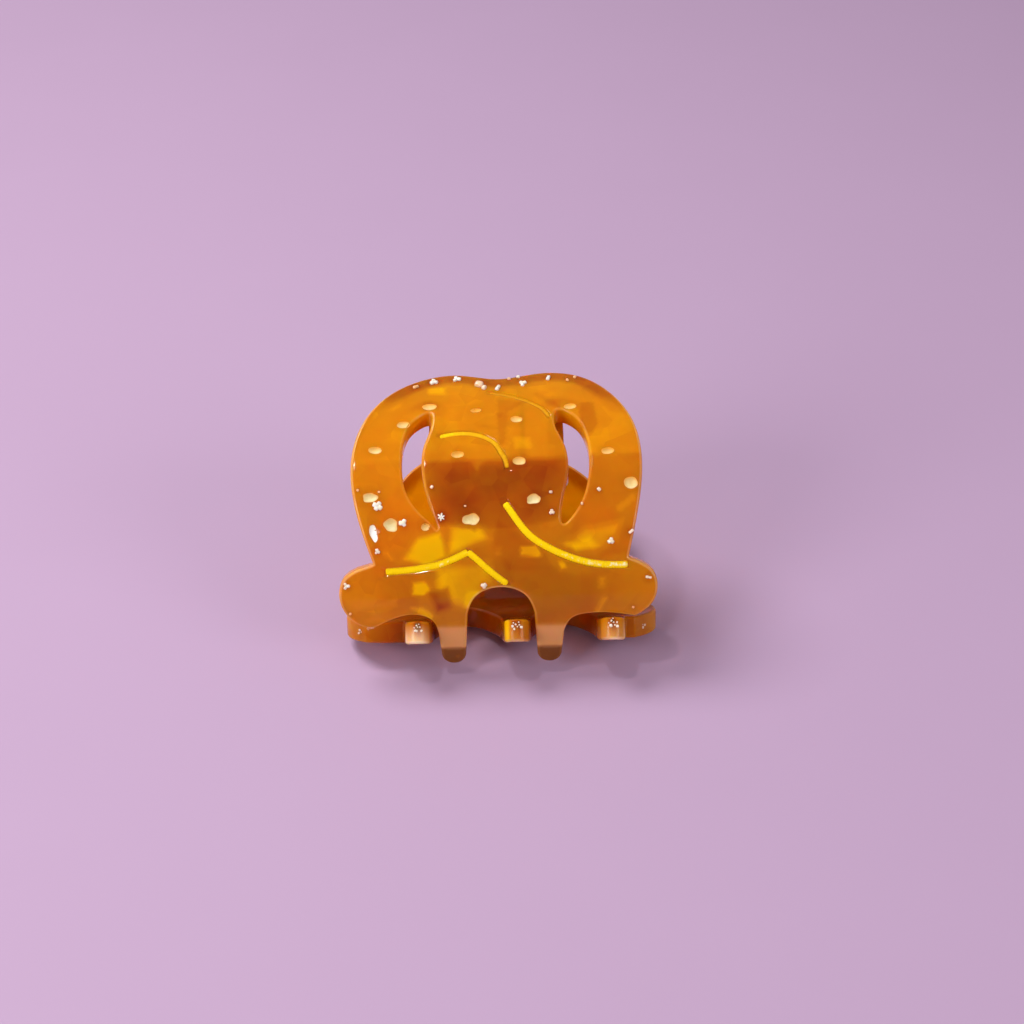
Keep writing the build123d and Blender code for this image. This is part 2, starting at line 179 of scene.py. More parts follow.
# Patches of another amber in the sheet: strength, width of the soft edge and the corners. Plus is
# milky yellow and minus deep amber. They are partly the acetate's own clouds and partly painted
# light and shade. Painted light is in the milky top half and in the yellow patches of the lower half,
# where light falls through the holes. A painted shadow of the hinge is in the dark middle. Painted
# shade is in the dark strips over the upper scored lines, by the right hole and about the teeth, and
# at the front teeth's tips, the last patch.
FRONT_CLOUDS_LIGHT_SHADE = [
    (0.35, 0.8, [(-29, -4.4), (29, -3.6), (29, 18), (-29, 18)]),
    (-0.4, 0.7, [(-13.2, -4.5), (-12.3, -10.5), (-10.8, -16), (2, -17), (10.5, -15.5), (12.6, -9.5),
                 (12.6, -4.5)]),
    (-0.45, 6.0, [(-12.5, -4.0), (-11.5, -14), (8, -15), (12, -9), (12, -4.0)]),
    (-0.25, 0.8, [(16.5, -3.4), (27, -3.4), (27, -22), (12, -22)]),
    (-0.5, 0.6, [(0.3, 9.3), (0.3, 4.5), (5.8, 8.2)]),
    (-0.5, 0.6, [(0.3, 5.5), (0.3, -2), (1.7, -1), (2.3, 5.5)]),
    (-0.6, 0.7, [(14.9, 8), (17.8, 7.6), (18.4, 2.5), (16.8, 0.2), (15.2, 2.5)]),
    (-0.35, 0.7, [(-9.5, 1.7), (-1.5, 2.0), (0.2, 1.2), (0.2, 2.5), (-2, 3.1), (-9.5, 2.6)]),
    (-0.4, 0.7, [(5.5, 9.7), (9.4, 7.7), (11.4, 5.4), (12.4, 5.4), (11, 8.2), (7.5, 10.4)]),
    (-0.35, 2.5, [(0.5, -22.5), (10, -24.5), (17, -25.5), (17, -33), (7, -35), (2, -30)]),
    (-1.1, 1.4, [(-12.4, -28.3), (-9.3, -27.6), (-8.6, -31), (-11.2, -32)]),
    (-0.3, 1.2, [(-0.2, -15.5), (3, -17.5), (8.5, -21.8), (9.5, -24.5), (1.5, -24.5), (-0.8, -20)]),
    (1.05, 1.9, [(-17.2, -22.2), (-14.6, -18.4), (-10.2, -17.2), (-9.5, -21.8), (-13, -23.4)]),
    (0.95, 2.0, [(-8.6, -16.4), (-3.2, -16.2), (-1.6, -18.8), (-5.5, -20.2), (-8.8, -21.5)]),
    (1.1, 0.6, [(3.9, -20.2), (6.6, -20.1), (7.9, -21.8), (7.2, -22.3), (3.7, -21.9)]),
    (0.45, 1.4, [(12.4, -20.2), (16.2, -18.8), (17.6, -20.4), (14, -21.3)]),
    (0.9, 2.2, [(11.3, -19.9), (15.5, -17.2), (21.8, -16.2), (21, -19.8), (17, -21.6), (13.5, -21.5)]),
    (0.8, 0.6, [(10.6, -22.9), (11.6, -23.1), (12, -24.4), (10.9, -24.6)]),
    (1.0, 0.8, [(-15.5, -26.3), (-13.2, -26.2), (-12.2, -27.8), (-13.6, -28.9), (-15.6, -28.6)]),
    (0.8, 0.8, [(-16, -31), (-13.6, -31), (-11.8, -32.6), (-12.2, -33.6), (-15.2, -32)]),
    (0.4, 0.9, [(-24.8, -32), (-18.6, -29.2), (-18.4, -30.6), (-22.5, -32.6)]),
    (0.85, 2.6, [(-11.5, -23.5), (-2, -23), (-1, -26.5), (-6, -31.5), (-11, -30)]),
    (0.5, 0.8, [(-5.8, -28.6), (-3.6, -28.2), (-5, -31.5), (-6.4, -31.5)]),
    (0.55, 0.6, [(-20.8, -20.5), (-19.6, -20.6), (-18.6, -22), (-19.2, -22.4)]),
    (0.5, 0.7, [(17.6, -26), (19, -26), (18.8, -28), (17.6, -28)]),
    (0.55, 0.6, [(18.4, -29.6), (19.4, -29.8), (17.6, -33.2), (16.6, -33.2)]),
    (0.5, 0.7, [(24.4, -11), (24.6, -12.2), (21.6, -14.4), (21, -13.6)]),
    (0.35, 0.6, [(-0.4, -19.9), (0.6, -20.1), (0.5, -21.8), (-0.4, -21.6)]),
    (0.4, 0.6, [(-4.4, -4.6), (-2.4, -4.6), (-3.6, -6.6)]),
    (0.35, 1.2, [(3, 0.2), (6.2, 0.2), (6.4, -2.4), (3.2, -2.4)]),
    (0.45, 1.0, [(-12.4, 12.8), (-9.2, 12.6), (-9.2, 10.6), (-12.4, 10.8)]),
    (0.3, 1.5, [(-23, 8.5), (-17, 10.5), (-17, 7.5), (-22, 5.5)]),
    (-1.8, 0.6, [(-12, -39.5), (12, -39.5), (12, -45), (-12, -45)]),
]
# The back jaw's patches, the same way: milky and darker clouds, painted shade over its lower part and its
# teeth, which lie in the front jaw's shade, and a painted highlight on the middle tooth's end.
BACK_CLOUDS_LIGHT_SHADE = [
    (-1.0, 9.0, [(-27, -11), (27, -11), (26, -33), (19, -39), (-19, -39), (-26, -33)]),
    (0.9, 1.2, [(15.2, -12), (9.5, -10.5), (8, -14.5), (14, -16)]),
    (0.9, 1.0, [(-6, -8.5), (-1, -9.5), (-2, -12.5), (-7, -11.5)]),
    (0.6, 1.2, [(-21, 4), (-17, 6), (-16, 1), (-20, -1)]),
    (0.6, 1.2, [(17, 9), (21, 5), (20, 1), (17, 4)]),
    (0.5, 1.5, [(-4, 11.5), (7, 12.5), (8, 9), (-3, 8.5)]),
    (-0.6, 0.8, [(-11, 9), (-7, 10.5), (-6, 5.5), (-10, 4.5)]),
    (-0.6, 0.8, [(8, 3), (10, -1), (6, -5), (3, 0)]),
    (-0.35, 0.8, [(-25, -41), (25, -41), (25, -48), (-25, -48)]),
    (1.3, 0.5, [(-1.6, -41), (0.2, -41), (0.2, -45), (-1.6, -45)]),
]
# Pale cream places on the ends of the back teeth, partly frosting of the cut and partly painted
# highlight where the rounded ends catch the light: across, along, height over the outer face, their
# half sizes and strength.
BACK_END_FROST_AND_SHEEN = [
    (14.9, -43.3, -0.1, 3.0, 1.8, 0.65, 0.9), (17.3, -42.8, -0.9, 0.5, 2.0, 1.5, 0.8),
    (-20.4, -43.3, 0.0, 2.6, 1.8, 0.45, 0.8), (-22.4, -42.8, -1.0, 0.4, 2.0, 1.3, 0.6),
    (-2.9, -43.3, 0.0, 2.6, 1.8, 0.35, 0.5),
]
# Below these places the front teeth are clear, and their tips carry painted shade: less clear, and
# darkened by the last front patch.
CLEAR_BELOW = -34.7
SHADED_TIP_BELOW = -39.4
# Spacing of the points on a jaw's faces, along its outline and round its holes. Of the points that
# follow the scored lines and the salt, one is kept in a place of the last size.
FACE_PITCH = 0.62
OUTLINE_STEP = 0.36
HOLE_STEP = 0.30
SHARED_PLACE = 0.09
# Width of a scored line's steep sides, sides of the strip in it and thickness of a salt lining.
CHANNEL_SIDE = 0.15
STRIP_SIDES = 12
LINING = 0.16
# Rims, points and bores of the knuckles.
KNUCKLE_ROUND = 0.35
KNUCKLE_PITCH = 0.9
BORE_RADIUS = 1.06
# Play between the pieces on the pin, and height of the pin's heads.
SIDE_GAP = 0.3 * MM
HEAD_HEIGHT = 0.7 * MM
# Lights that aim at one place: name, place, size and share of the main light's power.
LIGHT_AIM = (0, 0, 0.02)
LIGHTS = [
    ("key_light", (-0.32, 0.20, 0.60), 0.36, 1.0),
    ("left_light", (-0.50, -0.44, 0.36), 0.36, 0.75),
    ("right_light", (0.55, -0.40, 0.36), 0.36, 0.45),
    ("glint_light", (-0.12, -0.10, 0.60), 0.04, 0.12),
]
# The picture's shift aside and up, in shares of its width.
CAMERA_SHIFT = (14.6 / 1024, -21.1 / 1024)


def length(name, description, millimetres):
    """A length that is given in millimetres."""
    return bpy.props.FloatProperty(
        name=name, description=description, default=millimetres * MM, unit="LENGTH")


def swatch(name, description, rgb):
    """A colour."""
    return bpy.props.FloatVectorProperty(
        name=name, description=description, default=rgb, subtype="COLOR", size=3)


def angle(name, description, degrees):
    """An angle that is given in degrees."""
    return bpy.props.FloatProperty(
        name=name, description=description, default=math.radians(degrees), subtype="ANGLE")


class JawSizes(bpy.types.PropertyGroup):
    """Sizes of the two bent sheets."""

    sheet_thickness: length("Sheet thickness", "Thickness of the bent sheet", 4.0)
    bend_radius: length("Bend radius", "Radius of the sheet's outer face", 35.5)
    centre_set: length("Centre set", "From the middle plane to each bend's centre", 16.424)
    rim_round: length("Rim rounding", "Radius of the tumbled rims", 0.55)
    score_width: length("Score width", "Width of the scored lines", 1.45)
    score_depth: length("Score depth", "Depth of the scored lines", 0.35)
    salt_depth: length("Salt depth", "Depth of the frosted hollows cut for salt", 0.38)


class HingeSizes(bpy.types.PropertyGroup):
    """Sizes of the knuckles, the pin and the spring."""

    pin_radius: length("Pin radius", "Radius of the hinge pin", 1.0)
    head_radius: length("Head radius", "Radius of the pin's two heads", 1.7)
    eye_radius: length("Eye radius", "Radius of the knuckles round the pin", 3.2)
    foot_height: length("Foot height", "Height of a knuckle where it meets its jaw", 11.0)
    knuckle_thickness: length("Knuckle thickness", "Thickness of a knuckle along the pin", 3.0)
    wire_diameter: length("Wire diameter", "Diameter of the spring's wire", 1.0)
    coil_radius: length("Coil radius", "From the pin's axis to the middle of the wire", 2.2)
    coil_turns: bpy.props.IntProperty(name="Coil turns", description="Turns of the spring", default=7)


class Finishes(bpy.types.PropertyGroup):
    """Colours of the clip."""

    amber: swatch("Amber", "Colour of the sheet", (0.93, 0.36, 0.002))
    # Deep amber shows in the darkest swirls and, with shade amber, where the sheet carries painted shade;
    # shade amber shows only there. Pale amber shows in the palest swirls and where the sheet carries
    # painted light and milky clouds.
    deep_amber: swatch("Deep amber", "Darkest swirls of the sheet", (0.50, 0.09, 0.0))
    shade_amber: swatch("Burnt amber", "Tips of the front teeth, shade inside", (0.29, 0.085, 0.004))
    pale_amber: swatch("Pale amber", "Palest clouds of the sheet", (1.0, 0.52, 0.0))
    clear_amber: swatch("Clear amber", "Tint of the clear front teeth", (0.97, 0.45, 0.17))
    # Cream of the painted highlights along the rims and of the pale places on the back teeth's ends.
    rim_sheen_cream: swatch("Rim cream", "Frosted rims and tooth ends", (1.0, 0.80, 0.52))
    score_yellow: swatch("Score yellow", "Frosted strips in the scored lines", (1.0, 0.66, 0.0))
    salt_cream: swatch("Salt cream", "Colour of the salt", (0.76, 0.63, 0.32))
    steel: swatch("Steel", "Colour of the pin and the spring", (0.62, 0.62, 0.63))


class StageSettings(bpy.types.PropertyGroup):
    """Floor, lights and camera."""

    floor_colour: swatch("Floor", "Colour of the floor", (0.47, 0.315, 0.47))
    light_power: bpy.props.FloatProperty(
        name="Light power", description="Power of the main light", default=3.55, unit="POWER")
    camera_distance: length("Camera distance", "From the clip to the camera", 450.0)
    camera_rise: angle("Camera rise", "Angle of the view above the floor", 35.6)
    camera_roll: angle("Camera roll", "How far the picture is turned", 1.3)
    focal_length: bpy.props.FloatProperty(
        name="Focal length", description="Focal length in millimetres", default=84.8)


# Shapes


def full_turn(count):
    """Angles at even steps round a circle."""
    return np.linspace(0, 2 * math.pi, count, endpoint=False)


def unit(rows):
    """Rows of numbers, each brought to length one."""
    return rows / np.maximum(np.linalg.norm(rows, axis=1, keepdims=True), 1e-12)


def smooth_curve(points, closed=False, step=0.12):
    """Cubic curve through points. Between two points each coordinate is a cubic in the chord
    length, and the second slopes are solved for so that slope and bend run on at each point."""
    p = np.asarray(points, dtype=float)
    if closed:
        p = np.vstack([p, p[:1]])
    h = np.linalg.norm(np.diff(p, axis=0), axis=1)
    t = np.concatenate([[0.0], np.cumsum(h)])
    n = len(p)
    lhs = np.zeros((n, n))
    rhs = np.zeros((n, p.shape[1]))
    i = np.arange(1, n - 1)
    lhs[i, i - 1], lhs[i, i], lhs[i, i + 1] = h[i - 1], 2 * (h[i - 1] + h[i]), h[i]
    rate = np.diff(p, axis=0) / h[:, None]
    rhs[i] = 6 * (rate[i] - rate[i - 1])
    if closed:
        lhs[0, 0], lhs[0, -1] = 1.0, -1.0
        lhs[-1, 0], lhs[-1, 1], lhs[-1, -2], lhs[-1, -1] = 2 * h[0], h[0], h[-1], 2 * h[-1]
        rhs[-1] = 6 * (rate[0] - rate[-1])
    else:
        lhs[0, 0] = lhs[-1, -1] = 1.0
    m = np.linalg.solve(lhs, rhs)
    at = np.linspace(0.0, t[-1], max(8, int(t[-1] / step)) + 1)
    k = np.clip(np.searchsorted(t, at, side="right") - 1, 0, n - 2)
    a = ((t[k + 1] - at) / h[k])[:, None]
    b = 1.0 - a
    hk = h[k][:, None] ** 2 / 6
    curve = a * p[k] + b * p[k + 1] + ((a ** 3 - a) * m[k] + (b ** 3 - b) * m[k + 1]) * hk
    return curve[:-1] if closed else curve


def even_steps(points, step, closed=True):
    """Points at even steps of length along a line through points."""
    p = np.vstack([points, points[:1]]) if closed else np.asarray(points)
    run = np.concatenate([[0.0], np.cumsum(np.linalg.norm(np.diff(p, axis=0), axis=1))])
    count = max(3, int(round(run[-1] / step)))
    at = np.linspace(0.0, run[-1], count + 1)
    if closed:
        at = at[:-1]
    return np.stack([np.interp(at, run, p[:, c]) for c in range(p.shape[1])], axis=1)


def tooth(middle, right_root, left_root):
    """A tooth: two straight sides that draw in, and a round tip, an arc through the two shoulders
    and the tip."""
    half_chord, drop = TOOTH_TIP_HALF, TOOTH_SHOULDER - TOOTH_TIP
    radius = (half_chord ** 2 + drop ** 2) / (2 * drop)
    reach = math.asin(min(1.0, half_chord / radius))
    if drop > radius:
        reach = math.pi - reach
    a = np.linspace(reach, -reach, 25)
    arc = np.stack([middle + radius * np.sin(a), TOOTH_TIP + radius * (1 - np.cos(a))], axis=1)
    return np.vstack([[(middle + TOOTH_HALF, right_root)], arc, [(middle - TOOTH_HALF, left_root)]])


def arch(right, left, root, side):
    """The hollow between two teeth, a smooth curve over its root."""
    span, high = right - left, root + 0.38 * (side - root)
    return smooth_curve([(right, side), (right - 0.11 * span, high), (right - 0.5 * span, root),
                         (left + 0.11 * span, high), (left, side)])


def narrowed(rows, share):
    """Rows whose first column, the place across, is a share of what it was."""
    return [(row[0] * share,) + tuple(row[1:]) for row in rows]


def jaw_holes(jaw):
    """The two holes of a jaw, as rows of a smooth closed curve."""
    if jaw == "front":
        return LEFT_HOLE, RIGHT_HOLE
    return [[(x * BACK_SHARE, BACK_HOLE_MIDDLE + (y - HOLE_MIDDLE) * BACK_HOLE_SHARE) for x, y in rows]
            for rows in (LEFT_HOLE, RIGHT_HOLE)]


def front_outline():
    """The front jaw's outline with its two teeth, from the left waist over the top."""
    left, right = FRONT_TEETH
    right_side, left_side = right + TOOTH_HALF, left - TOOTH_HALF
    foot = [
        smooth_curve([FRONT_RIGHT_END[-1], (right_side + 4.2, -33.1), (right_side + 1.2, -34.2),
                      (right_side, FRONT_ROOT)]),
        tooth(right, FRONT_ROOT, FRONT_INNER_ROOT),
        arch(right - TOOTH_HALF, left + TOOTH_HALF, FRONT_ARCH, FRONT_INNER_ROOT),
        tooth(left, FRONT_INNER_ROOT, FRONT_ROOT),
        smooth_curve([(left_side, FRONT_ROOT), (left_side - 1.1, -33.9), (left_side - 3.3, -32.8),
                      FRONT_LEFT_END[0]]),
    ]
    ring = smooth_curve(RING)
    return np.vstack([ring, smooth_curve(FRONT_RIGHT_END), *foot, smooth_curve(FRONT_LEFT_END)])


def back_outline():
    """The back jaw's outline with its three teeth, from the left waist over the top."""
    right, middle, left = BACK_TEETH
    corner = BACK_RIGHT_END[-1]
    side = right + TOOTH_HALF
    foot = [
        smooth_curve([corner, ((corner[0] + right + TOOTH_HALF) / 2, BACK_ROOT), (side, BACK_ROOT)]),
        tooth(right, BACK_ROOT, BACK_INNER_ROOT),
        arch(right - TOOTH_HALF, middle + TOOTH_HALF, BACK_ARCH, BACK_INNER_ROOT),
        tooth(middle, BACK_INNER_ROOT, BACK_INNER_ROOT),
        arch(middle - TOOTH_HALF, left + TOOTH_HALF, BACK_ARCH, BACK_INNER_ROOT),
        tooth(left, BACK_INNER_ROOT, BACK_ROOT),
    ]
    ring = smooth_curve(narrowed(RING, BACK_SHARE))
    return np.vstack([ring, smooth_curve(BACK_RIGHT_END), *foot, smooth_curve(BACK_LEFT_END)])


def material_on_left(loop, hole=False):
    """The loop with the sheet on its left: anticlockwise round the sheet, clockwise round a hole."""
    nxt = np.roll(loop, -1, axis=0)
    area = 0.5 * np.sum(loop[:, 0] * nxt[:, 1] - nxt[:, 0] * loop[:, 1])
    return loop if (area > 0) != hole else loop[::-1]


def left_normals(loop):
    """Unit vectors to the left of a closed line, square to the chord between the points two
    before and two after."""
    chord = np.roll(loop, -2, axis=0) - np.roll(loop, 2, axis=0)
    normal = np.stack([-chord[:, 1], chord[:, 0]], axis=1)
    return unit(normal)


def inside(points, loops):
    """Which points lie in the sheet: a ray from each crosses the loops an odd number of times."""
    count = np.zeros(len(points), dtype=int)
    for loop in loops:
        a, b = loop, np.roll(loop, -1, axis=0)
        for part in np.array_split(np.arange(len(points)), max(1, len(points) // 4000)):
            x, y = points[part, 0][:, None], points[part, 1][:, None]
            spans = (a[:, 1] > y) != (b[:, 1] > y)
            rise = np.where(b[:, 1] == a[:, 1], 1e-12, b[:, 1] - a[:, 1])
            cross = a[:, 0] + (y - a[:, 1]) * (b[:, 0] - a[:, 0]) / rise
            count[part] += np.sum(spans & (x < cross), axis=1)
    return count % 2 == 1


def nearest(points, line):
    """Distance from each point to the nearest point of a line given by close points."""
    out = np.empty(len(points))
    for part in np.array_split(np.arange(len(points)), max(1, len(points) // 4000)):
        out[part] = np.sqrt(((points[part][:, None, :] - line[None, :, :]) ** 2).sum(axis=2)).min(axis=1)
    return out


def fill(loops, inner):
    """Triangles of the face between the loops that use every given point inside it."""
    points = np.vstack(list(loops) + [inner])
    edges, start = [], 0
    for loop in loops:
        i = np.arange(len(loop)) + start
        edges.append(np.stack([i, np.roll(i, -1)], axis=1))
        start += len(loop)
    edges = np.vstack(edges)
    flat, _, tris, origin, _, _ = delaunay_2d_cdt([Vector(p) for p in points], edges.tolist(), [], 0, 1e-9)
    back = np.array([o[0] if o else -1 for o in origin])
    if (back < 0).any() or len(flat) != len(points):
        raise RuntimeError("the flat face's loops cross each other")
    tris = back[np.array(tris)]
    mid = points[tris].mean(axis=1)
    tris = tris[inside(mid, loops)]
    a, b, c = (points[tris[:, k]] for k in range(3))
    turn = (b[:, 0] - a[:, 0]) * (c[:, 1] - a[:, 1]) - (b[:, 1] - a[:, 1]) * (c[:, 0] - a[:, 0])
    tris[turn < 0] = tris[turn < 0][:, ::-1]
    return tris[np.abs(turn) > 1e-9]


def hex_points(low, high, pitch):
    """Points of a staggered grid, each row half a pitch aside from the next."""
    rows = np.arange(low[1], high[1], pitch * 0.866)
    cols = np.arange(low[0], high[0], pitch)
    x, y = np.meshgrid(cols, rows)
    x = x + (np.arange(len(rows)) % 2)[:, None] * pitch / 2
    return np.stack([x.ravel(), y.ravel()], axis=1)


def round_profile(radius, depth):
    """Rim section as (inset, depth) pairs: a quarter circle from the face to the wall, the wall,
    and a quarter circle to the other face."""
    a = np.linspace(0.0, math.pi / 2, 6)
    first = np.stack([radius * (1 - np.sin(a)), radius * (1 - np.cos(a))], axis=1)
    second = np.stack([first[::-1, 0], depth - first[::-1, 1]], axis=1)
    return np.vstack([first, second])


def grid_faces(rows, around):
    """Quads of a grid that closes round, and triangles to a point before and one after it."""
    k, i = np.meshgrid(np.arange(rows - 1), np.arange(around), indexing="ij")
    j = (i + 1) % around
    quads = np.stack([k * around + i, (k + 1) * around + i, (k + 1) * around + j, k * around + j], axis=2)
    i, j = i[0], j[0]
    first, last = np.full(around, rows * around), (rows - 1) * around
    tris = np.vstack([np.stack([first, i, j], axis=1), np.stack([first + 1, last + j, last + i], axis=1)])
    return quads.reshape(-1, 4), tris


def plate(loops, thickness, rim, pitch, extra=None, clear_of=None, keep_off=0.0):
    """A flat plate with holes and rounded rims, as points (across, along, height) and faces.

    Each loop carries the rim section along it: the point is the loop's own point, moved to its
    left by the inset and down by the depth. The two faces are filled between the innermost rows."""
    section = round_profile(rim, thickness)
    rows = len(section)
    points, faces, tops, bottoms, starts = [], [], [], [], []
    start = 0
    for loop in loops:
        n = len(loop)
        flat = loop[None, :, :] + left_normals(loop)[None, :, :] * section[:, 0][:, None, None]
        high = np.broadcast_to(-section[:, 1][:, None, None], (rows, n, 1))
        points.append(np.concatenate([flat, high], axis=2).reshape(-1, 3))
        faces.append(grid_faces(rows, n)[0] + start)
        tops.append(flat[0])
        bottoms.append(flat[-1])
        starts.append((start, start + (rows - 1) * n, n))
        start += rows * n
    all_top = np.vstack(tops)
    low, high = all_top.min(axis=0), all_top.max(axis=0)
    grid = hex_points(low, high, pitch)
    if clear_of is not None:
        grid = grid[nearest(grid, clear_of) > keep_off]
    if extra is not None:
        grid = np.vstack([grid, extra])
    grid = grid[inside(grid, tops)]
    grid = grid[nearest(grid, all_top) > 0.45 * pitch]
    under = hex_points(low, high, pitch * 1.5)
    under = under[inside(under, bottoms)]
    under = under[nearest(under, np.vstack(bottoms)) > 0.7 * pitch]
    triangles = []
    sides = ((0, tops, grid, 0.0, False), (1, bottoms, under, -thickness, True))
    for row, rims, inner, level, flip in sides:
        tris = fill(rims, inner)
        index = np.concatenate([np.arange(s[row], s[row] + s[2]) for s in starts]
                               + [np.arange(start, start + len(inner))])
        points.append(np.concatenate([inner, np.full((len(inner), 1), level)], axis=1))
        start += len(inner)
        tris = index[tris]
        triangles.append(tris[:, ::-1] if flip else tris)
    return np.vstack(points), np.vstack(faces), np.vstack(triangles)


def on_jaw(shape, jaw, sizes):
    """Bends a flat shape on to a jaw. across stays, along becomes an arc of the outer face, and
    height adds to the radius: place = centre + across + (radius + height) * (cos of the arc's
    angle outwards, sin of it towards the handle)."""
    points, quads, tris = shape
    side = 1.0 if jaw == "front" else -1.0
    x, y, h = (points[:, k, None] * MM for k in range(3))
    turn = y / sizes.bend_radius
    reach = sizes.bend_radius + h
    centre = MIDDLE - side * OUT * sizes.centre_set
    place = centre + side * x * ACROSS + side * (reach * np.cos(turn)) * OUT + reach * np.sin(turn) * UP
    return place, quads, tris


def tube(path, radii, sides, flat_axis=None, flat_share=1.0):
    """A closed tube: circles carried along a path, each square to it, drawn in to a point at the
    two ends. flat_axis gives a direction in which the circle is squeezed to flat_share."""
    p = np.asarray(path)
    run = unit(np.gradient(p, axis=0))
    if flat_axis is None:
        first = np.array([0.31, 0.52, 0.79])
        normals = [first - run[0] * first.dot(run[0])]
        for k in range(1, len(p)):
            normals.append(normals[-1] - run[k] * normals[-1].dot(run[k]))
        nrm = np.array(normals)
    else:
        nrm = flat_axis - run * np.sum(flat_axis * run, axis=1, keepdims=True)
    nrm = unit(nrm)
    side = np.cross(run, nrm)
    a = full_turn(sides)[None, :, None]
    ring = side[:, None, :] * np.cos(a) + flat_share * nrm[:, None, :] * np.sin(a)
    points = (p[:, None, :] + ring * np.asarray(radii)[:, None, None]).reshape(-1, 3)
    quads, ends = grid_faces(len(p), sides)
    return np.vstack([points, p[:1], p[-1:]]), quads, ends


def lathe(profile):
    """A body turned about the hinge's axis: each pair is (place along the pin, radius)."""
    profile = np.asarray(profile)
    sides = 48
    a = full_turn(sides)[None, :, None]
    x, radius = profile[:, 0, None, None], profile[:, 1, None, None]
    points = (PIN + x * ACROSS + radius * (np.cos(a) * OUT + np.sin(a) * UP)).reshape(-1, 3)
    quads, ends = grid_faces(len(profile), sides)
    return np.vstack([points, PIN + profile[[0, -1], 0][:, None] * ACROSS]), quads, ends


def joined(parts):
    """Several (points, quads, triangles) as one."""
    points, quads, tris, start = [], [], [], 0
    for p, q, t in parts:
        points.append(p)
        quads.append(q + start)
        tris.append(t + start)
        start += len(p)
    return np.vstack(points), np.vstack(quads), np.vstack(tris)


def piece(name, shape, jaw, finish, node=None, values=None):
    """Puts a shape into a smooth-shaded mesh that rides on a jaw's half of the clip and may stand
    for a CAD node. The values are what the finish reads, one for each point."""
    points, quads, tris = shape
    mesh = bpy.data.meshes.new(name)
    mesh.from_pydata(points.tolist(), [], quads.tolist() + tris.tolist())
    mesh.validate()
    mesh.update()
    mesh.polygons.foreach_set("use_smooth", np.ones(len(mesh.polygons), dtype=bool))
    for key, value in (values or {}).items():
        layer = mesh.attributes.new(key, "FLOAT", "POINT")
        layer.data.foreach_set("value", np.asarray(value, dtype=np.float32))
    mesh.materials.append(finish)
    obj = bpy.data.objects.new(name, mesh)
    bpy.context.scene.collection.objects.link(obj)
    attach(obj, f"{jaw}_half")
    if node:
        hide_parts(node)


# Finishes


def colour(rgb):
    """The colour with a fourth value, as a shader wants it."""
    return (*rgb, 1.0)


def feed(tree, node, inputs):
    """Sets or wires a node's inputs: each value is a number, a row of numbers or a socket."""
    for key, value in inputs.items():
        if isinstance(value, bpy.types.NodeSocket):
            tree.links.new(value, node.inputs[key])
        else:
            node.inputs[key].default_value = value


def new_node(tree, kind, inputs):
    """A new node with its inputs set or wired."""
    node = tree.nodes.new(kind)
    feed(tree, node, inputs)
    return node


def new_finish(name):
    """A material that holds a Principled shader wired to its output."""
    mat = bpy.data.materials.new(name)
    mat.use_nodes = True
    tree = mat.node_tree
    tree.nodes.clear()
    out = tree.nodes.new("ShaderNodeOutputMaterial")
    shader = tree.nodes.new("ShaderNodeBsdfPrincipled")
    tree.links.new(shader.outputs["BSDF"], out.inputs["Surface"])
    return mat, tree, shader, out


def own_place(tree, stretch=(1.0, 1.0, 1.0), shift=0.0):
    """Object coordinates, stretched and moved."""
    node = new_node(tree, "ShaderNodeMapping", {
        "Vector": tree.nodes.new("ShaderNodeTexCoord").outputs["Object"],
        "Location": (shift, shift * 0.7, shift * 0.3), "Scale": stretch})
    return node.outputs["Vector"]


def noise(tree, place, scale, rough=0.5, detail=3.0):
    """Noise over a place."""
    node = new_node(tree, "ShaderNodeTexNoise", {
        "Vector": place, "Scale": scale, "Detail": detail, "Roughness": rough})
    return node.outputs["Fac"]


def ramp(tree, source, stops):
    """A colour ramp over a value."""
    node = new_node(tree, "ShaderNodeValToRGB", {"Fac": source})
    for k, (at, rgb) in enumerate(stops):
        element = node.color_ramp.elements[k] if k < 2 else node.color_ramp.elements.new(at)
        element.position = at
        element.color = colour(rgb)
    return node.outputs["Color"]


def maths(tree, operation, *values):
    """A Math node over sockets or numbers."""
    node = tree.nodes.new("ShaderNodeMath")
    node.operation = operation
    feed(tree, node, dict(enumerate(values)))
    return node.outputs[0]


def held(tree, value, high):
    """A value held between nothing and a highest value."""
    return maths(tree, "MINIMUM", maths(tree, "MAXIMUM", value, 0.0), high)


def bump(tree, source, strength, distance):
    """A relief that follows a value."""
    node = new_node(tree, "ShaderNodeBump", {"Strength": strength, "Distance": distance, "Height": source})
    return node.outputs["Normal"]


def reading(tree, name):
    """A value that the mesh carries."""
    node = tree.nodes.new("ShaderNodeAttribute")
    node.attribute_name = name
    return node.outputs["Fac"]


def blend(tree, share, first, second):
    """A mix of a colour socket and a plain colour."""
    node = new_node(tree, "ShaderNodeMixRGB", dict(enumerate((share, first, colour(second)))))
    return node.outputs["Color"]


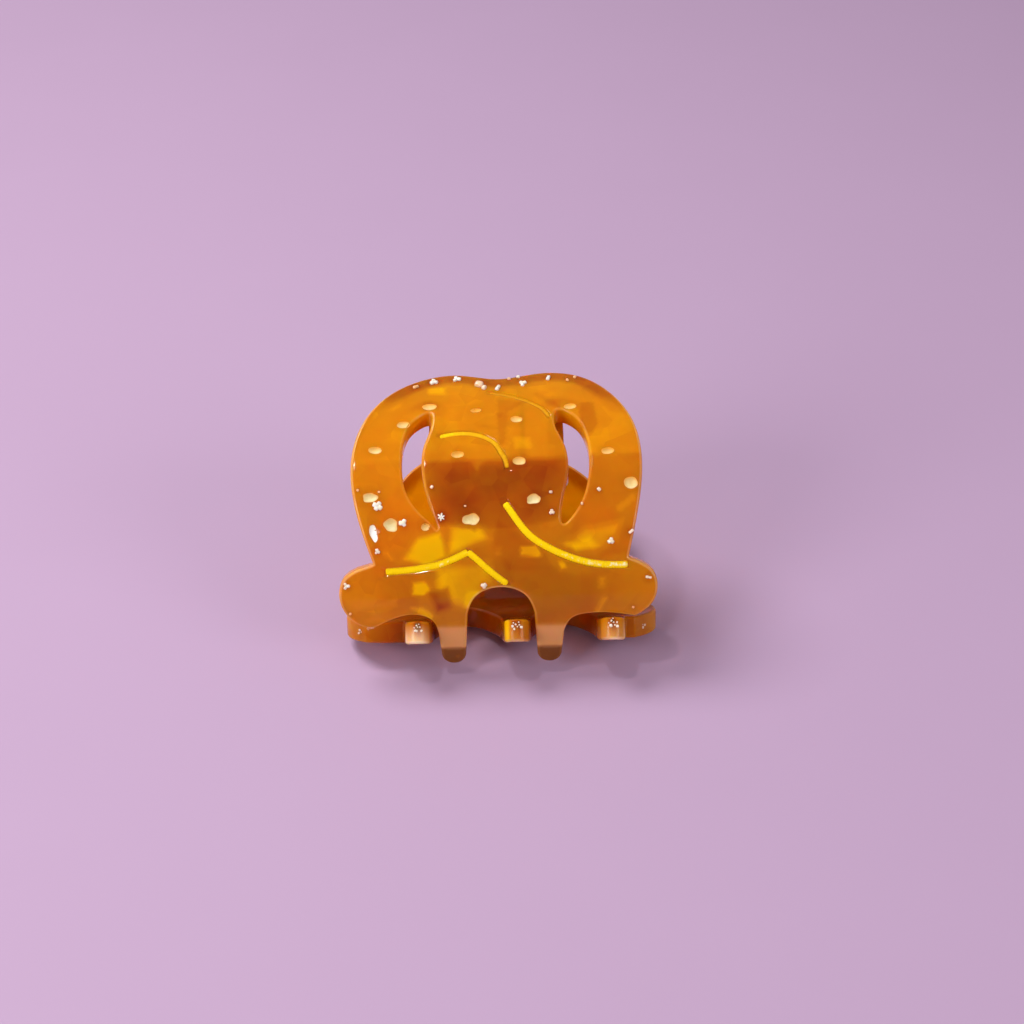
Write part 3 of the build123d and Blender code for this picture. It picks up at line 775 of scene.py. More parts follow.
def cloudy_acetate(name, finishes, patched, shift):
    """Polished amber sheet: honey colour, part clear and part milky, that darkens with depth,
    with pale chips and deep swirls, painted light and shade in the clouds that the mesh carries, cream
    painted highlights on the rims and pale back tooth ends, and a faint unevenness of the polish."""
    mat, tree, shader, out = new_finish(name)
    place = own_place(tree, shift=shift)
    value = maths(tree, "MULTIPLY_ADD", noise(tree, place, 110.0), 0.9, -0.45)
    chips = new_node(tree, "ShaderNodeTexVoronoi", {"Vector": place, "Scale": 300.0, "Randomness": 1.0})
    value = maths(tree, "MULTIPLY_ADD", chips.outputs["Color"], 0.22, maths(tree, "SUBTRACT", value, 0.11))
    # The mesh's clouds, which carry painted light and shade as well as the acetate's own clouds.
    if patched:
        value = maths(tree, "ADD", reading(tree, "cloud_light_shade"), value)
    level = maths(tree, "MULTIPLY_ADD", value, 0.4, 0.5)
    tint = ramp(tree, level, [(0.0, finishes.shade_amber), (0.90, finishes.pale_amber),
                              (0.12, finishes.deep_amber), (0.50, finishes.amber), (0.64, finishes.amber)])
    clear = ramp(tree, level, [(0.12, (0.55,) * 3), (0.90, (0.22,) * 3), (0.45, (0.62,) * 3),
                               (0.62, (0.55,) * 3)])
    if patched:
        through, frost_and_sheen, edge = (reading(tree, key) for key in ("clear", "frost_and_sheen", "edge"))
        tint = blend(tree, through, tint, finishes.clear_amber)
        tint = blend(tree, frost_and_sheen, tint, finishes.rim_sheen_cream)
        solid = maths(tree, "MINIMUM", maths(tree, "MULTIPLY_ADD", edge, 0.35, frost_and_sheen), 1.0)
        clear = blend(tree, through, clear, (0.36,) * 3)
        clear = maths(tree, "MULTIPLY", clear, maths(tree, "SUBTRACT", 1.0, solid))
    ripple = noise(tree, own_place(tree, shift=shift + 1.0), 420.0)
    feed(tree, shader, {
        "Base Color": tint, "Transmission Weight": clear, "Roughness": 0.07, "IOR": 1.35,
        "Specular IOR Level": 0.2, "Subsurface Weight": 0.6, "Subsurface Radius": (1.0, 0.4, 0.05),
        "Subsurface Scale": 0.002, "Normal": bump(tree, ripple, 0.05, 0.0003)})
    depth = new_node(tree, "ShaderNodeVolumeAbsorption", {
        "Color": (0.93, 0.70, 0.15, 1.0), "Density": 120.0})
    tree.links.new(depth.outputs["Volume"], out.inputs["Volume"])
    return mat


def score_finish(finishes):
    """Frosted strip in a scored line: matt yellow with the cutter's cross marks, almost white where the
    line's tone and the marks are highest and amber where the tone is low. The tone is partly the
    line's own fill and partly painted light and shade."""
    mat, tree, shader, _ = new_finish("frosted_score")
    marks = noise(tree, own_place(tree), 1500.0, 0.6)
    level = maths(tree, "MULTIPLY_ADD", marks, 0.5, maths(tree, "SUBTRACT", reading(tree, "tone"), 0.25))
    yellow, amber = tuple(finishes.score_yellow), tuple(finishes.amber)
    half_dim = tuple(0.4 * a + 0.45 * b for a, b in zip(amber, yellow))
    dim_amber = tuple(0.66 * a for a in amber)
    tint = ramp(tree, level, [(0.05, dim_amber), (1.0, (1.0, 0.90, 0.45)), (0.50, half_dim), (0.72, yellow),
                              (0.90, yellow)])
    feed(tree, shader, {"Base Color": tint, "Roughness": 0.6, "Specular IOR Level": 0.1,
                        "Normal": bump(tree, marks, 0.6, 0.0003)})
    return mat


def salt_finish(name, finishes, hollow):
    """Cream salt, grainy and a little milky: matt and shaded with amber in the hollows, and
    glossy and paler on the crumbs."""
    mat, tree, shader, _ = new_finish(name)
    grain = noise(tree, own_place(tree), 1100.0, 0.6)
    cream = tuple(finishes.salt_cream)
    if not hollow:
        cream = tuple(0.3 * v + 0.66 for v in cream)
    dull = (cream[0] * 0.92, cream[1] * 0.82, cream[2] * 0.62)
    tint = ramp(tree, grain, [(0.30, dull), (0.62, cream)])
    shade = reading(tree, "shade")
    tint = blend(tree, held(tree, shade, 0.85), tint, tuple(0.9 * v for v in finishes.amber))
    tint = blend(tree, held(tree, maths(tree, "MULTIPLY", shade, -1.0), 1.0), tint, (0.95, 0.92, 0.86))
    feed(tree, shader, {"Base Color": tint, "Roughness": 0.6 if hollow else 0.12,
                        "Specular IOR Level": 0.1 if hollow else 0.4,
                        "Normal": bump(tree, grain, 0.5, 0.0003)})
    return mat


def steel_finish(finishes):
    """Drawn spring steel with fine lines along the wire."""
    mat, tree, shader, _ = new_finish("spring_steel")
    drawn = noise(tree, own_place(tree, (0.3, 1.0, 1.0)), 700.0, 0.6)
    steel = tuple(finishes.steel)
    tint = ramp(tree, drawn, [(0.3, tuple(v * 0.8 for v in steel)), (0.7, steel)])
    feed(tree, shader, {"Base Color": tint, "Metallic": 1.0,
                        "Roughness": maths(tree, "MULTIPLY_ADD", drawn, 0.16, 0.20),
                        "Normal": bump(tree, drawn, 0.15, 0.0001)})
    return mat


def floor_finish(rgb):
    """Plain pale floor with a barely seen grain."""
    mat, tree, shader, _ = new_finish("plain_floor")
    grain = noise(tree, own_place(tree), 30.0, detail=2.0)
    tint = ramp(tree, grain, [(0.2, tuple(v * 0.985 for v in rgb)), (0.8, rgb)])
    feed(tree, shader, {"Base Color": tint, "Roughness": 0.75})
    return mat


# Pieces


def score_lines(share):
    """The scored lines as even flat curves."""
    return [even_steps(smooth_curve(narrowed(row, share)), 0.35, closed=False) for row in SCORES]


def patch_strength(flat, patches):
    """Sum of soft-edged patches. Inside a patch's corners its strength is whole, and it fades over
    the width of its edge as 3 t^2 - 2 t^3."""
    total = np.zeros(len(flat))
    for strength, soft, corners in patches:
        corner = material_on_left(np.array(corners, dtype=float))
        run = unit(np.roll(corner, -1, axis=0) - corner)
        off = flat[:, None, :2] - corner[None, :, :]
        deep = (off[:, :, 1] * run[:, 0] - off[:, :, 0] * run[:, 1]).min(axis=1)
        t = np.clip(deep / soft + 0.5, 0.0, 1.0)
        total += strength * (3 * t ** 2 - 2 * t ** 3)
    return total


def soft_spots(points, places):
    """Sum of soft spots, each strength * exp(-(dx^2 + dy^2 + dz^2)) of the scaled distances."""
    total = np.zeros(len(points))
    for x, y, z, w, h, d, strength in places:
        away = (points - [x, y, z]) / [w, h, d]
        total += strength * np.exp(-(away ** 2).sum(axis=1))
    return total


def hollow_reach(turn, k):
    """Reach of hollow k in a direction, in shares of its half sizes: an oval with four soft
    corners, and waves of two, three and five to the turn, higher on the palest salt."""
    corner = (np.abs(np.cos(turn)) ** 2.2 + np.abs(np.sin(turn)) ** 2.2) ** (-1 / 2.2)
    wave = 0.07 if SALT[k][5] < 0.2 else 0.02
    return corner * (1 + wave * np.sin(2 * turn + 1.7 * k) + wave * np.sin(3 * turn + 2.9 * k)
                     + 0.7 * wave * np.sin(5 * turn + 4.1 * k))


def hollow_points(salt, k, share, count):
    """Points round hollow k at a share of its reach."""
    x, y, w, h, lean, _ = salt[k]
    a = full_turn(count)
    reach = share * hollow_reach(a, k)
    u, v = reach * np.cos(a) * w / 2, reach * np.sin(a) * h / 2
    return np.stack([x + u * math.cos(lean) - v * math.sin(lean),
                     y + u * math.sin(lean) + v * math.cos(lean)], axis=1)


def hollow_share(salt, k, points):
    """How far points are from the middle of hollow k, in shares of its reach."""
    x, y, w, h, lean, _ = salt[k]
    dx, dy = points[:, 0] - x, points[:, 1] - y
    u = (dx * math.cos(lean) + dy * math.sin(lean)) / (w / 2)
    v = (dy * math.cos(lean) - dx * math.sin(lean)) / (h / 2)
    return np.hypot(u, v) / hollow_reach(np.arctan2(v, u), k)


def jaw_shape(outline, holes, share, sizes):
    """A jaw, still flat: a plate with two holes and rounded rims. On its outer face each scored
    line is a channel with steep sides, and each hollow for salt a bowl, depth * (1 - share ^ 2),
    with a crisp edge. Also gives how near each point is to the rim, 1 at the wall."""
    loops = [material_on_left(even_steps(outline, OUTLINE_STEP))]
    for rows in holes:
        loops.append(material_on_left(even_steps(smooth_curve(rows, closed=True), HOLE_STEP), hole=True))
    halves = [sizes.score_width / MM / 2 * look[2] for look in SCORE_LOOKS]
    salt = narrowed(SALT, share)
    lines = score_lines(share)
    extra = []
    for line, half in zip(lines, halves):
        run = unit(np.gradient(line, axis=0))
        aside = np.stack([-run[:, 1], run[:, 0]], axis=1)
        for offset in (0.0, 0.22, half - CHANNEL_SIDE, half, half + 0.16):
            for sign in ((1,) if offset == 0 else (1, -1)):
                extra.append(line + aside * offset * sign)
    edges = []
    for k, (_, _, w, h, _, _) in enumerate(salt):
        count = max(18, int((w + h) * 6))
        rings = [(1.12, count), (1.02, count), (0.95, count), (0.70, count // 2), (0.38, count // 3)]
        extra += [hollow_points(salt, k, reach, part) for reach, part in rings]
        edges += [hollow_points(salt, k, reach, 40) for reach in (0.0, 0.45, 0.8, 1.08)]
    extra = np.vstack(extra)
    _, keep = np.unique(np.round(extra / SHARED_PLACE).astype(int), axis=0, return_index=True)
    extra = extra[np.sort(keep)]
    points, quads, tris = plate(
        loops, sizes.sheet_thickness / MM, sizes.rim_round / MM, FACE_PITCH,
        extra=extra, clear_of=np.vstack(lines + edges), keep_off=max(halves) + 0.2)
    top = np.abs(points[:, 2]) < 1e-9
    flat = points[top][:, :2]
    low = np.zeros(len(flat))
    for line, half in zip(lines, halves):
        deep = np.clip((half - nearest(flat, line)) / CHANNEL_SIDE, 0.0, 1.0)
        low = np.minimum(low, -sizes.score_depth / MM * deep)
    for k in range(len(salt)):
        reach = hollow_share(salt, k, flat)
        bowl = sizes.salt_depth / MM * (1 - reach ** 2) + 0.06
        low = np.minimum(low, -bowl * np.clip((1.01 - reach) / 0.05, 0.0, 1.0))
    points[top, 2] = low
    return (points, quads, tris), nearest(points[:, :2], np.vstack(loops))


def score_strips(share, sizes):
    """Frosted strips in the channels: flat tubes along each scored line whose width wavers as the
    cutter's marks do. Also gives each point its line's tone, less at the sides as painted shade of the
    channel's walls."""
    aside = np.abs(np.cos(full_turn(STRIP_SIDES))) ** 3
    parts, tones = [], []
    for k, line in enumerate(score_lines(share)):
        first, last, wide = SCORE_LOOKS[k]
        line = even_steps(line, 0.16, closed=False)
        n = len(line)
        at = np.arange(n)
        waver = 1.0 + 0.13 * np.sin(at * 2.1 + k) + 0.12 * np.sin(at * 3.7 + 2 * k)
        ends = np.clip(np.minimum(at, at[::-1]) / 3.0 + 0.5, 0.0, 1.0)
        radii = (sizes.score_width / MM / 2 * wide - 0.03) * waver * ends
        path = np.concatenate([line, np.full((n, 1), -sizes.score_depth / MM * 0.86)], axis=1)
        parts.append(tube(path, radii, STRIP_SIDES, np.array([0.0, 0.0, 1.0]), 0.30))
        # Painted shade at the strip's sides, under the channel's walls.
        tone = np.repeat(np.linspace(first, last, n), STRIP_SIDES) - 0.3 * np.tile(aside, n)
        tones.append(np.concatenate([tone, [first, last]]))
    return joined(parts), np.concatenate(tones)


def salt_linings(share, sizes):
    """Frosted linings of the hollows: each is a thin shell, above -depth * (1 - share ^ 2) and
    below the same set lower, which meet at the hollow's edge. Also gives each point's shade, more
    towards the edge and the handle."""
    depth = sizes.salt_depth / MM
    salt = narrowed(SALT, share)
    parts, shades = [], []
    reaches = np.array([0.25, 0.5, 0.72, 0.88, 0.97, 1.0, 0.97, 0.85, 0.5])
    under = np.array([0.0, 0.0, 0.0, 0.0, 0.0, 0.03, 0.14, LINING, LINING])
    count = 36
    quads, tris = grid_faces(len(reaches), count)
    for k, (x, y, _, h, _, shade) in enumerate(salt):
        rings = []
        for reach, low in zip(reaches, under):
            level = np.full(count, depth * (reach ** 2 - 1) - low)
            rings.append(np.column_stack([hollow_points(salt, k, reach, count), level]))
        points = np.vstack(rings + [[[x, y, -depth], [x, y, -depth - LINING]]])
        parts.append((points, quads, tris))
        reach = np.concatenate([np.repeat(reaches, count), [0.0, 0.0]])
        shades.append(shade + 0.5 * reach ** 6 + 0.6 * (points[:, 1] - y) / h)
    return joined(parts), np.concatenate(shades)


def crumb_and_glint_clusters(rows, seed):
    """Crumbs of salt, partly pale stand-ins for glints as painted highlights. Each is a rounded block:
    with t from pole to pole and a around it, its reach is size * (|sin t|^p * (|cos a|^p + |sin a|^p)
    + |cos t|^p) ^ (-1/p), p = 4. Also gives each point's shade."""
    rng = np.random.default_rng(seed)
    t = np.linspace(0, math.pi, 9)[1:-1][:, None]
    a = full_turn(16)[None, :]
    power = 4.0
    reach = (np.abs(np.sin(t)) ** power * (np.abs(np.cos(a)) ** power + np.abs(np.sin(a)) ** power)
             + np.abs(np.cos(t)) ** power) ** (-1 / power)
    block = np.stack([reach * np.sin(t) * np.cos(a), reach * np.sin(t) * np.sin(a),
                      reach * np.cos(t) * np.ones_like(a)], axis=2).reshape(-1, 3)
    block = np.vstack([block, [[0, 0, 1], [0, 0, -1]]])
    quads, tris = grid_faces(7, 16)
    parts, shades = [], []
    for x, y, high, spread, size, count, shade in rows:
        start = rng.uniform(0, 2 * math.pi)
        for k in range(count):
            turn = start + 2 * math.pi * k / count
            away = 0.0 if count == 1 else spread * rng.uniform(0.55, 0.8)
            tall = rng.uniform(0.45, 0.65) + (0.35 if y > 12 else 0.0)
            slim = 0.42 if count > 5 else rng.uniform(0.75, 0.95)
            half = 0.66 * size * rng.uniform(0.8, 1.05) * np.array([1.0, slim, tall])
            spin = Matrix.Rotation(turn, 3, "Z") @ Matrix.Rotation(rng.uniform(-0.35, 0.35), 3, "X")
            place = np.array([x + away * math.cos(turn), y + away * math.sin(turn), high])
            if high < 0:
                spin = Matrix.Rotation(math.pi / 2, 3, "X") @ spin
                place = np.array([x + away * math.cos(turn), y, high + away * math.sin(turn)])
            parts.append(((block * half) @ np.array(spin).T + place, quads, tris))
            shades.append(np.full(len(block), shade))
    return joined(parts), np.concatenate(shades)


def hinge_places(sizes):
    """Places along the pin, from the middle outwards, as in the CAD: the coil's end, the middle of
    the end turn, the inner faces of the knuckles and the heads."""
    coil = sizes.coil_turns * sizes.wire_diameter * 1.15 / 2
    turn_start = coil + SIDE_GAP
    turn_end = turn_start + sizes.wire_diameter + 0.12 * MM
    back = turn_end + 0.5 * MM
    front = back + sizes.knuckle_thickness + SIDE_GAP
    head = front + sizes.knuckle_thickness + SIDE_GAP
    return {"coil": coil, "turn": (turn_start + turn_end) / 2, "back": back, "front": front, "head": head}


def knuckle_shape(side, jaw, inner, hinge, jaw_sizes):
    """A knuckle plate: its outline is an arc about the pin, two straight sides that widen to the
    jaw, and an arc just short of the jaw's inner face. The plate is carried along the pin."""
    sign = 1.0 if jaw == "front" else -1.0
    eye, foot = hinge.eye_radius / MM, hinge.foot_height / MM / 2
    reach = (jaw_sizes.bend_radius - jaw_sizes.centre_set) / MM
    inner_radius = (jaw_sizes.bend_radius - jaw_sizes.sheet_thickness) / MM - 0.05
    set_off, rise = jaw_sizes.centre_set / MM, PIN_RISE / MM
    t = np.linspace(math.pi / 2, 3 * math.pi / 2, 28)
    eye_arc = np.stack([eye * np.cos(t), eye * np.sin(t)], axis=1)
    slope = (foot - eye) / reach

    def meets(start, rising):
        f = np.linspace(0, reach, 400)
        u = start + rising * f
        gap = np.hypot(f + set_off, u + rise) - inner_radius
        at = np.interp(0.0, gap, f)
        return at, start + rising * at

    top, low = meets(eye, slope), meets(-eye, -slope)
    v = np.linspace(low[1], top[1], 16)
    foot_arc = np.stack([np.sqrt(inner_radius ** 2 - (v + rise) ** 2) - set_off, v], axis=1)
    outline = np.vstack([eye_arc, foot_arc]) * [sign, 1.0]
    a = full_turn(60)
    bore = BORE_RADIUS * np.stack([np.cos(a), np.sin(a)], axis=1)
    loops = [material_on_left(even_steps(outline, 0.3)), material_on_left(bore, hole=True)]
    thickness = hinge.knuckle_thickness / MM
    points, quads, tris = plate(loops, thickness, KNUCKLE_ROUND, KNUCKLE_PITCH)
    start = inner / MM
    x = points[:, 2] + start + thickness
    if side < 0:
        x = points[:, 2] - start
    place = PIN + (x[:, None] * ACROSS + points[:, 0][:, None] * OUT + points[:, 1][:, None] * UP) * MM
    return place, quads[:, ::-1], tris[:, ::-1]


def leg_path(jaw, hinge, jaw_sizes):
    """A spring leg in the plane square to the pin: a straight run that leaves the turns square to
    their radius and ends just short of the jaw. Also gives the angle at which it leaves."""
    sign = 1.0 if jaw == "front" else -1.0
    ring = (jaw_sizes.bend_radius - jaw_sizes.sheet_thickness) - SIDE_GAP - hinge.wire_diameter / 2
    u = 8.5 * MM
    f = sign * (math.sqrt(ring ** 2 - (u + PIN_RISE) ** 2) - jaw_sizes.centre_set)
    spread = math.acos(hinge.coil_radius / math.hypot(f, u))
    leaving = math.atan2(u, f) + sign * spread
    start = hinge.coil_radius * np.array([math.cos(leaving), math.sin(leaving)])
    t = np.linspace(0, 1, 14)[:, None]
    return start + (np.array([f, u]) - start) * t, leaving


def wound_wire(jaw, turns, start_x, end_x, hinge, jaw_sizes):
    """A wire wound about the pin that runs out into a leg. The turns are a helix, radius * (cos,
    sin) of an angle that grows evenly with the place along the pin and ends where the leg leaves."""
    way = -1.0 if jaw == "front" else 1.0
    leg, leaving = leg_path(jaw, hinge, jaw_sizes)
    t = np.linspace(0, 1, max(20, int(turns * 40)))
    turn = leaving - way * 2 * math.pi * turns * (1 - t)
    x = np.concatenate([start_x + (end_x - start_x) * t, np.full(len(leg) - 1, end_x)])
    f = np.concatenate([hinge.coil_radius * np.cos(turn), leg[1:, 0]])
    u = np.concatenate([hinge.coil_radius * np.sin(turn), leg[1:, 1]])
    path = PIN + x[:, None] * ACROSS + f[:, None] * OUT + u[:, None] * UP
    radii = np.full(len(path), hinge.wire_diameter / 2)
    radii[[0, -1]] *= 0.75
    return tube(path, radii, 16)


def add_jaw(context, jaw, outline, share, patches, crumbs_and_glints, shift):
    """Makes a jaw's sheet with the values that its finish reads: clouds with painted light and shade,
    cream painted rim highlights and pale tooth ends, clear parts and how near a point is to the rim."""
    sizes, finishes = context.scene.claw_jaw, context.scene.claw_finish
    flat, away = jaw_shape(outline, jaw_holes(jaw), share, sizes)
    points = flat[0]
    along = points[:, 1]
    edge = np.clip(1 - away / (sizes.rim_round / MM), 0.0, 1.0)
    # Painted shadows: a darker ring round each crumb and each hollow of salt.
    shadow_rings = [(x, y, z, spread + 0.5 * size + 0.2, spread + 0.5 * size + 0.2, 0.8, -0.6)
             for x, y, z, spread, size, _, _ in crumbs_and_glints]
    shadow_rings += [(x, y, 0.0, w / 2 + 0.5, h / 2 + 0.5, 0.8, -0.3)
              for x, y, w, h, _, _ in narrowed(SALT, share)]
    # Painted shade: a dark band just inside the rims of the upper part, growing in towards the handle.
    upper_rim_shade = np.clip((3.4 - away) / 1.2, 0.0, 1.0) * np.clip((along - 5.0) / 5.0, 0.0, 1.0) * (1 - edge)
    cloud_light_shade = patch_strength(points, patches) + soft_spots(points, shadow_rings) - 0.8 * upper_rim_shade
    # Painted highlights: cream along the rims, faint round the holes and on the teeth, weaker on the back
    # jaw.
    hole_rims = np.vstack([smooth_curve(rows, closed=True) for rows in jaw_holes(jaw)])
    gleam = np.where(nearest(points[:, :2], hole_rims) < 1.2, 0.25, 1.0)
    gleam = gleam * np.clip((along + 36) / 8, 0.1, 1.0)
    frost_and_sheen = (0.9 if jaw == "front" else 0.4) * gleam * edge * (1 - edge)
    clear = np.zeros(len(points))
    if jaw == "front":
        # Painted shade at the front teeth's tips, which are made less clear.
        shaded_tip = np.clip((SHADED_TIP_BELOW - along) / 0.5, 0.0, 1.0)
        clear = 0.9 * np.clip((CLEAR_BELOW - along) / 0.8, 0.0, 1.0) * (1 - 0.92 * shaded_tip)
    else:
        frost_and_sheen = frost_and_sheen + soft_spots(points, BACK_END_FROST_AND_SHEEN)
    values = {"cloud_light_shade": cloud_light_shade, "edge": edge, "frost_and_sheen": np.clip(frost_and_sheen, 0.0, 1.0), "clear": clear}
    finish = cloudy_acetate(f"{jaw}_acetate", finishes, True, shift)
    piece(f"{jaw}_sheet", on_jaw(flat, jaw, sizes), jaw, finish, f"{jaw}_jaw", values)


class CLAW_OT_front_jaw(bpy.types.Operator):
    """Makes the front jaw's bent sheet"""

    bl_idname = "claw.front_jaw"
    bl_label = "Front jaw"

    def execute(self, context):
        add_jaw(context, "front", front_outline(), 1.0, FRONT_CLOUDS_LIGHT_SHADE, FRONT_CRUMBS_AND_GLINTS, 0.0)
        return {"FINISHED"}


class CLAW_OT_back_jaw(bpy.types.Operator):
    """Makes the back jaw's bent sheet"""

    bl_idname = "claw.back_jaw"
    bl_label = "Back jaw"

    def execute(self, context):
        add_jaw(context, "back", back_outline(), BACK_SHARE, BACK_CLOUDS_LIGHT_SHADE, BACK_CRUMBS_AND_GLINTS, 5.0)
        return {"FINISHED"}


class CLAW_OT_scores(bpy.types.Operator):
    """Lays the frosted strips in the scored lines of both jaws"""

    bl_idname = "claw.scores"
    bl_label = "Scored lines"

    def execute(self, context):
        sizes = context.scene.claw_jaw
        finish = score_finish(context.scene.claw_finish)
        for jaw, share in (("front", 1.0), ("back", BACK_SHARE)):
            strips, tone = score_strips(share, sizes)
            shape = on_jaw(strips, jaw, sizes)
            piece(f"{jaw}_scores", shape, jaw, finish, values={"tone": tone})
        return {"FINISHED"}


class CLAW_OT_salt(bpy.types.Operator):
    """Lines the frosted hollows and strews the crumbs of salt on both jaws"""

    bl_idname = "claw.salt"
    bl_label = "Salt"

    def execute(self, context):
        sizes, finishes = context.scene.claw_jaw, context.scene.claw_finish
        frosted = salt_finish("frosted_salt", finishes, True)
        crumb_and_glint = salt_finish("salt_crumb_and_glint", finishes, False)
        jaws = (("front", 1.0, FRONT_CRUMBS_AND_GLINTS, 4), ("back", BACK_SHARE, BACK_CRUMBS_AND_GLINTS, 9))
        for jaw, share, rows, seed in jaws:
            kinds = (("hollows", frosted, salt_linings(share, sizes)),
                     ("crumbs_and_glints", crumb_and_glint, crumb_and_glint_clusters(rows, seed)))
            for kind, finish, (flat, shade) in kinds:
                shape = on_jaw(flat, jaw, sizes)
                piece(f"{jaw}_salt_{kind}", shape, jaw, finish, values={"shade": shade})
        return {"FINISHED"}


class CLAW_OT_knuckles(bpy.types.Operator):
    """Makes the four knuckle plates inside the jaws"""

    bl_idname = "claw.knuckles"
    bl_label = "Knuckles"

    def execute(self, context):
        hinge, sizes = context.scene.claw_hinge, context.scene.claw_jaw
        finish = cloudy_acetate("plain_acetate", context.scene.claw_finish, False, 9.0)
        places = hinge_places(hinge)
        for jaw in ("front", "back"):
            for side, word in ((1, "right"), (-1, "left")):
                name = f"{jaw}_knuckle_{word}"
                shape = knuckle_shape(side, jaw, places[jaw], hinge, sizes)
                piece(f"{name}_plate", shape, jaw, finish, name)
        return {"FINISHED"}


class CLAW_OT_pin(bpy.types.Operator):
    """Turns the hinge pin with its two heads"""

    bl_idname = "claw.pin"
    bl_label = "Hinge pin"

    def execute(self, context):
        hinge = context.scene.claw_hinge
        head = hinge_places(hinge)["head"]
        r, big = hinge.pin_radius, hinge.head_radius
        turns = np.linspace(0, math.pi / 2, 8)[1:-1]
        half = [(0.0, r), (head * 0.5, r), (head - 0.05 * MM, r), (head, r), (head, big * 0.96),
                (head + 0.05 * MM, big)]
        half += [(head + HEAD_HEIGHT * math.sin(a) ** 0.8, big * math.cos(a) ** 0.5) for a in turns]
        half.append((head + HEAD_HEIGHT, big * 0.05))
        profile = [(-x, q) for x, q in half[::-1]] + half[1:]
        finish = steel_finish(context.scene.claw_finish)
        piece("pin_turned", lathe(profile), "back", finish, "hinge_pin")
        return {"FINISHED"}


class CLAW_OT_spring(bpy.types.Operator):
    """Winds the torsion spring and its two legs"""

    bl_idname = "claw.spring"
    bl_label = "Spring"

    def execute(self, context):
        hinge, sizes = context.scene.claw_hinge, context.scene.claw_jaw
        finish = steel_finish(context.scene.claw_finish)
        places = hinge_places(hinge)
        half = places["coil"] - hinge.wire_diameter / 2 - 0.06 * MM
        coil = wound_wire("back", hinge.coil_turns - 0.2, half, -half, hinge, sizes)
        piece("spring_coil", coil, "back", finish, "hinge_spring")
        end_turn = wound_wire("front", 0.93, places["turn"], places["turn"], hinge, sizes)
        piece("spring_end", end_turn, "front", finish, "spring_front_leg")
        return {"FINISHED"}


def soft_light(name, place, size, power):
    """A round soft light that aims at the clip."""
    data = bpy.data.lights.new(name, "AREA")
    data.shape = "DISK"
    data.size = size
    data.energy = power
    obj = bpy.data.objects.new(name, data)
    obj.location = place
    aim = Vector(LIGHT_AIM) - Vector(place)
    obj.rotation_euler = aim.to_track_quat("-Z", "Y").to_euler()
    bpy.context.scene.collection.objects.link(obj)


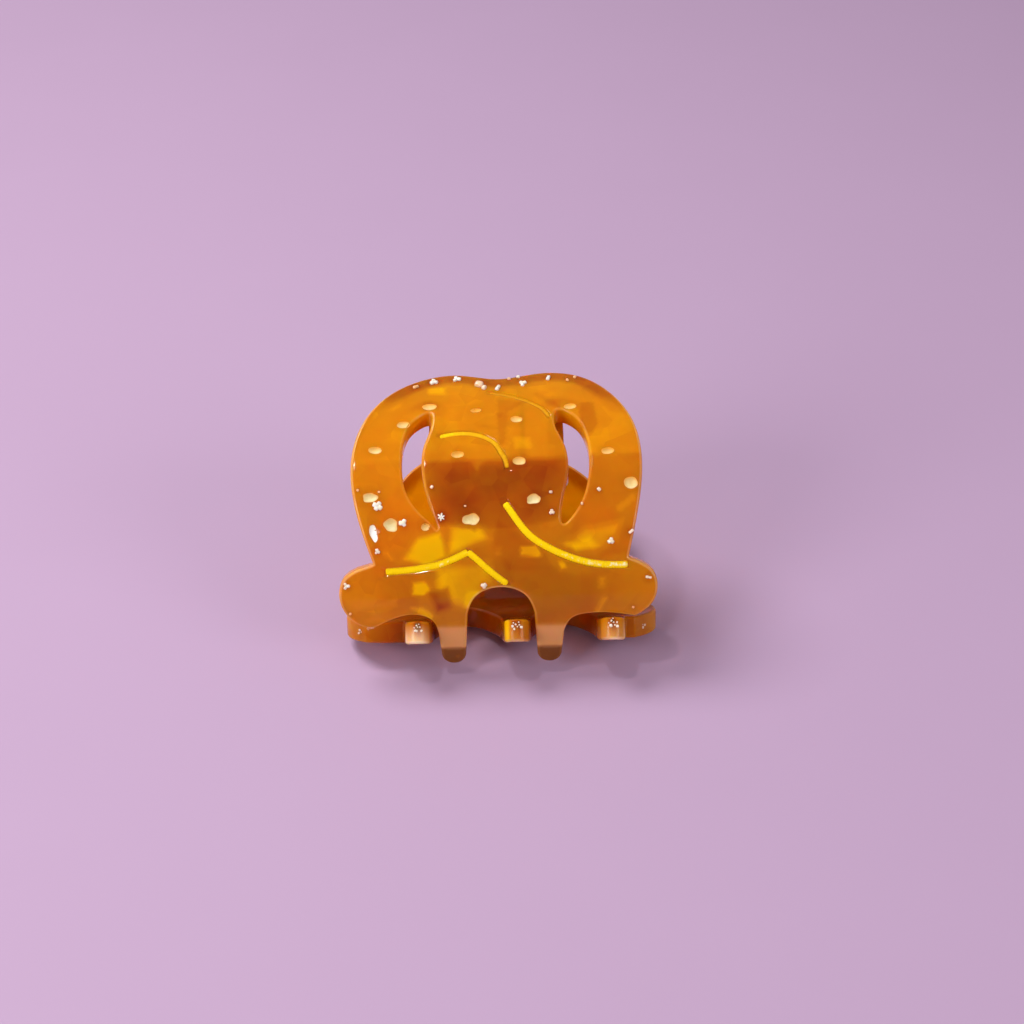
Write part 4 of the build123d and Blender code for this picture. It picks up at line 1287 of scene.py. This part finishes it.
class CLAW_OT_stage(bpy.types.Operator):
    """Sets the floor, the lights and the camera"""

    bl_idname = "claw.stage"
    bl_label = "Stage"

    def execute(self, context):
        settings = context.scene.claw_stage
        mesh = bpy.data.meshes.new("floor")
        reach = np.linspace(-3.0, 3.0, 13)
        x, y = np.meshgrid(reach, reach)
        points = np.stack([x.ravel(), y.ravel(), np.zeros(x.size)], axis=1)
        k, i = np.meshgrid(np.arange(12), np.arange(12), indexing="ij")
        corner = k * 13 + i
        quads = np.stack([corner, corner + 1, corner + 14, corner + 13], axis=2).reshape(-1, 4)
        mesh.from_pydata(points.tolist(), [], quads.tolist())
        mesh.materials.append(floor_finish(tuple(settings.floor_colour)))
        floor = bpy.data.objects.new("floor", mesh)
        context.scene.collection.objects.link(floor)

        world = bpy.data.worlds.new("soft_room")
        world.use_nodes = True
        sky = world.node_tree.nodes["Background"]
        feed(world.node_tree, sky, {"Color": (0.95, 0.90, 1.0, 1.0), "Strength": 0.27})
        context.scene.world = world
        for name, place, size, share in LIGHTS:
            soft_light(name, place, size, settings.light_power * share)

        data = bpy.data.cameras.new("camera")
        data.sensor_fit = "HORIZONTAL"
        data.sensor_width = 36.0
        data.lens = settings.focal_length
        data.clip_start = 0.01
        data.clip_end = 20.0
        data.shift_x, data.shift_y = CAMERA_SHIFT
        camera = bpy.data.objects.new("camera", data)
        rise, roll = settings.camera_rise, settings.camera_roll
        away = Vector((0.0, -math.cos(rise), math.sin(rise)))
        up = Vector((0.0, math.sin(rise), math.cos(rise)))
        top = up * math.cos(roll) + Vector(ACROSS) * math.sin(roll)
        right = Vector(ACROSS) * math.cos(roll) - up * math.sin(roll)
        turn = Matrix((right, top, away)).transposed().to_4x4()
        turn.translation = Vector(MIDDLE) + away * settings.camera_distance
        camera.matrix_world = turn
        context.scene.collection.objects.link(camera)
        context.scene.camera = camera
        context.scene.view_settings.view_transform = "Standard"
        return {"FINISHED"}


class CLAW_PT_panel(bpy.types.Panel):
    """Lists the pieces of the hair claw"""

    bl_label = "Hair claw"
    bl_idname = "CLAW_PT_panel"
    bl_space_type = "VIEW_3D"
    bl_region_type = "UI"
    bl_category = "Hair claw"

    def draw(self, context):
        for key in GROUPS:
            box = self.layout.box()
            group = getattr(context.scene, key)
            for name in group.__annotations__:
                box.prop(group, name)
        for operator in OPERATORS:
            self.layout.operator(operator.bl_idname)


OPERATORS = (CLAW_OT_front_jaw, CLAW_OT_back_jaw, CLAW_OT_scores, CLAW_OT_salt, CLAW_OT_knuckles,
             CLAW_OT_pin, CLAW_OT_spring, CLAW_OT_stage)
GROUPS = {"claw_jaw": JawSizes, "claw_hinge": HingeSizes, "claw_finish": Finishes,
          "claw_stage": StageSettings}


def register():
    for group in GROUPS.values():
        bpy.utils.register_class(group)
    for key, group in GROUPS.items():
        setattr(bpy.types.Scene, key, bpy.props.PointerProperty(type=group))
    for operator in OPERATORS:
        bpy.utils.register_class(operator)
    bpy.utils.register_class(CLAW_PT_panel)


def unregister():
    bpy.utils.unregister_class(CLAW_PT_panel)
    for operator in reversed(OPERATORS):
        bpy.utils.unregister_class(operator)
    for key, group in GROUPS.items():
        delattr(bpy.types.Scene, key)
        bpy.utils.unregister_class(group)


def main():
    register()
    bpy.ops.claw.stage()
    bpy.ops.claw.front_jaw()
    bpy.ops.claw.back_jaw()
    bpy.ops.claw.scores()
    bpy.ops.claw.salt()
    bpy.ops.claw.knuckles()
    bpy.ops.claw.pin()
    bpy.ops.claw.spring()


if __name__ == "__main__":
    main()
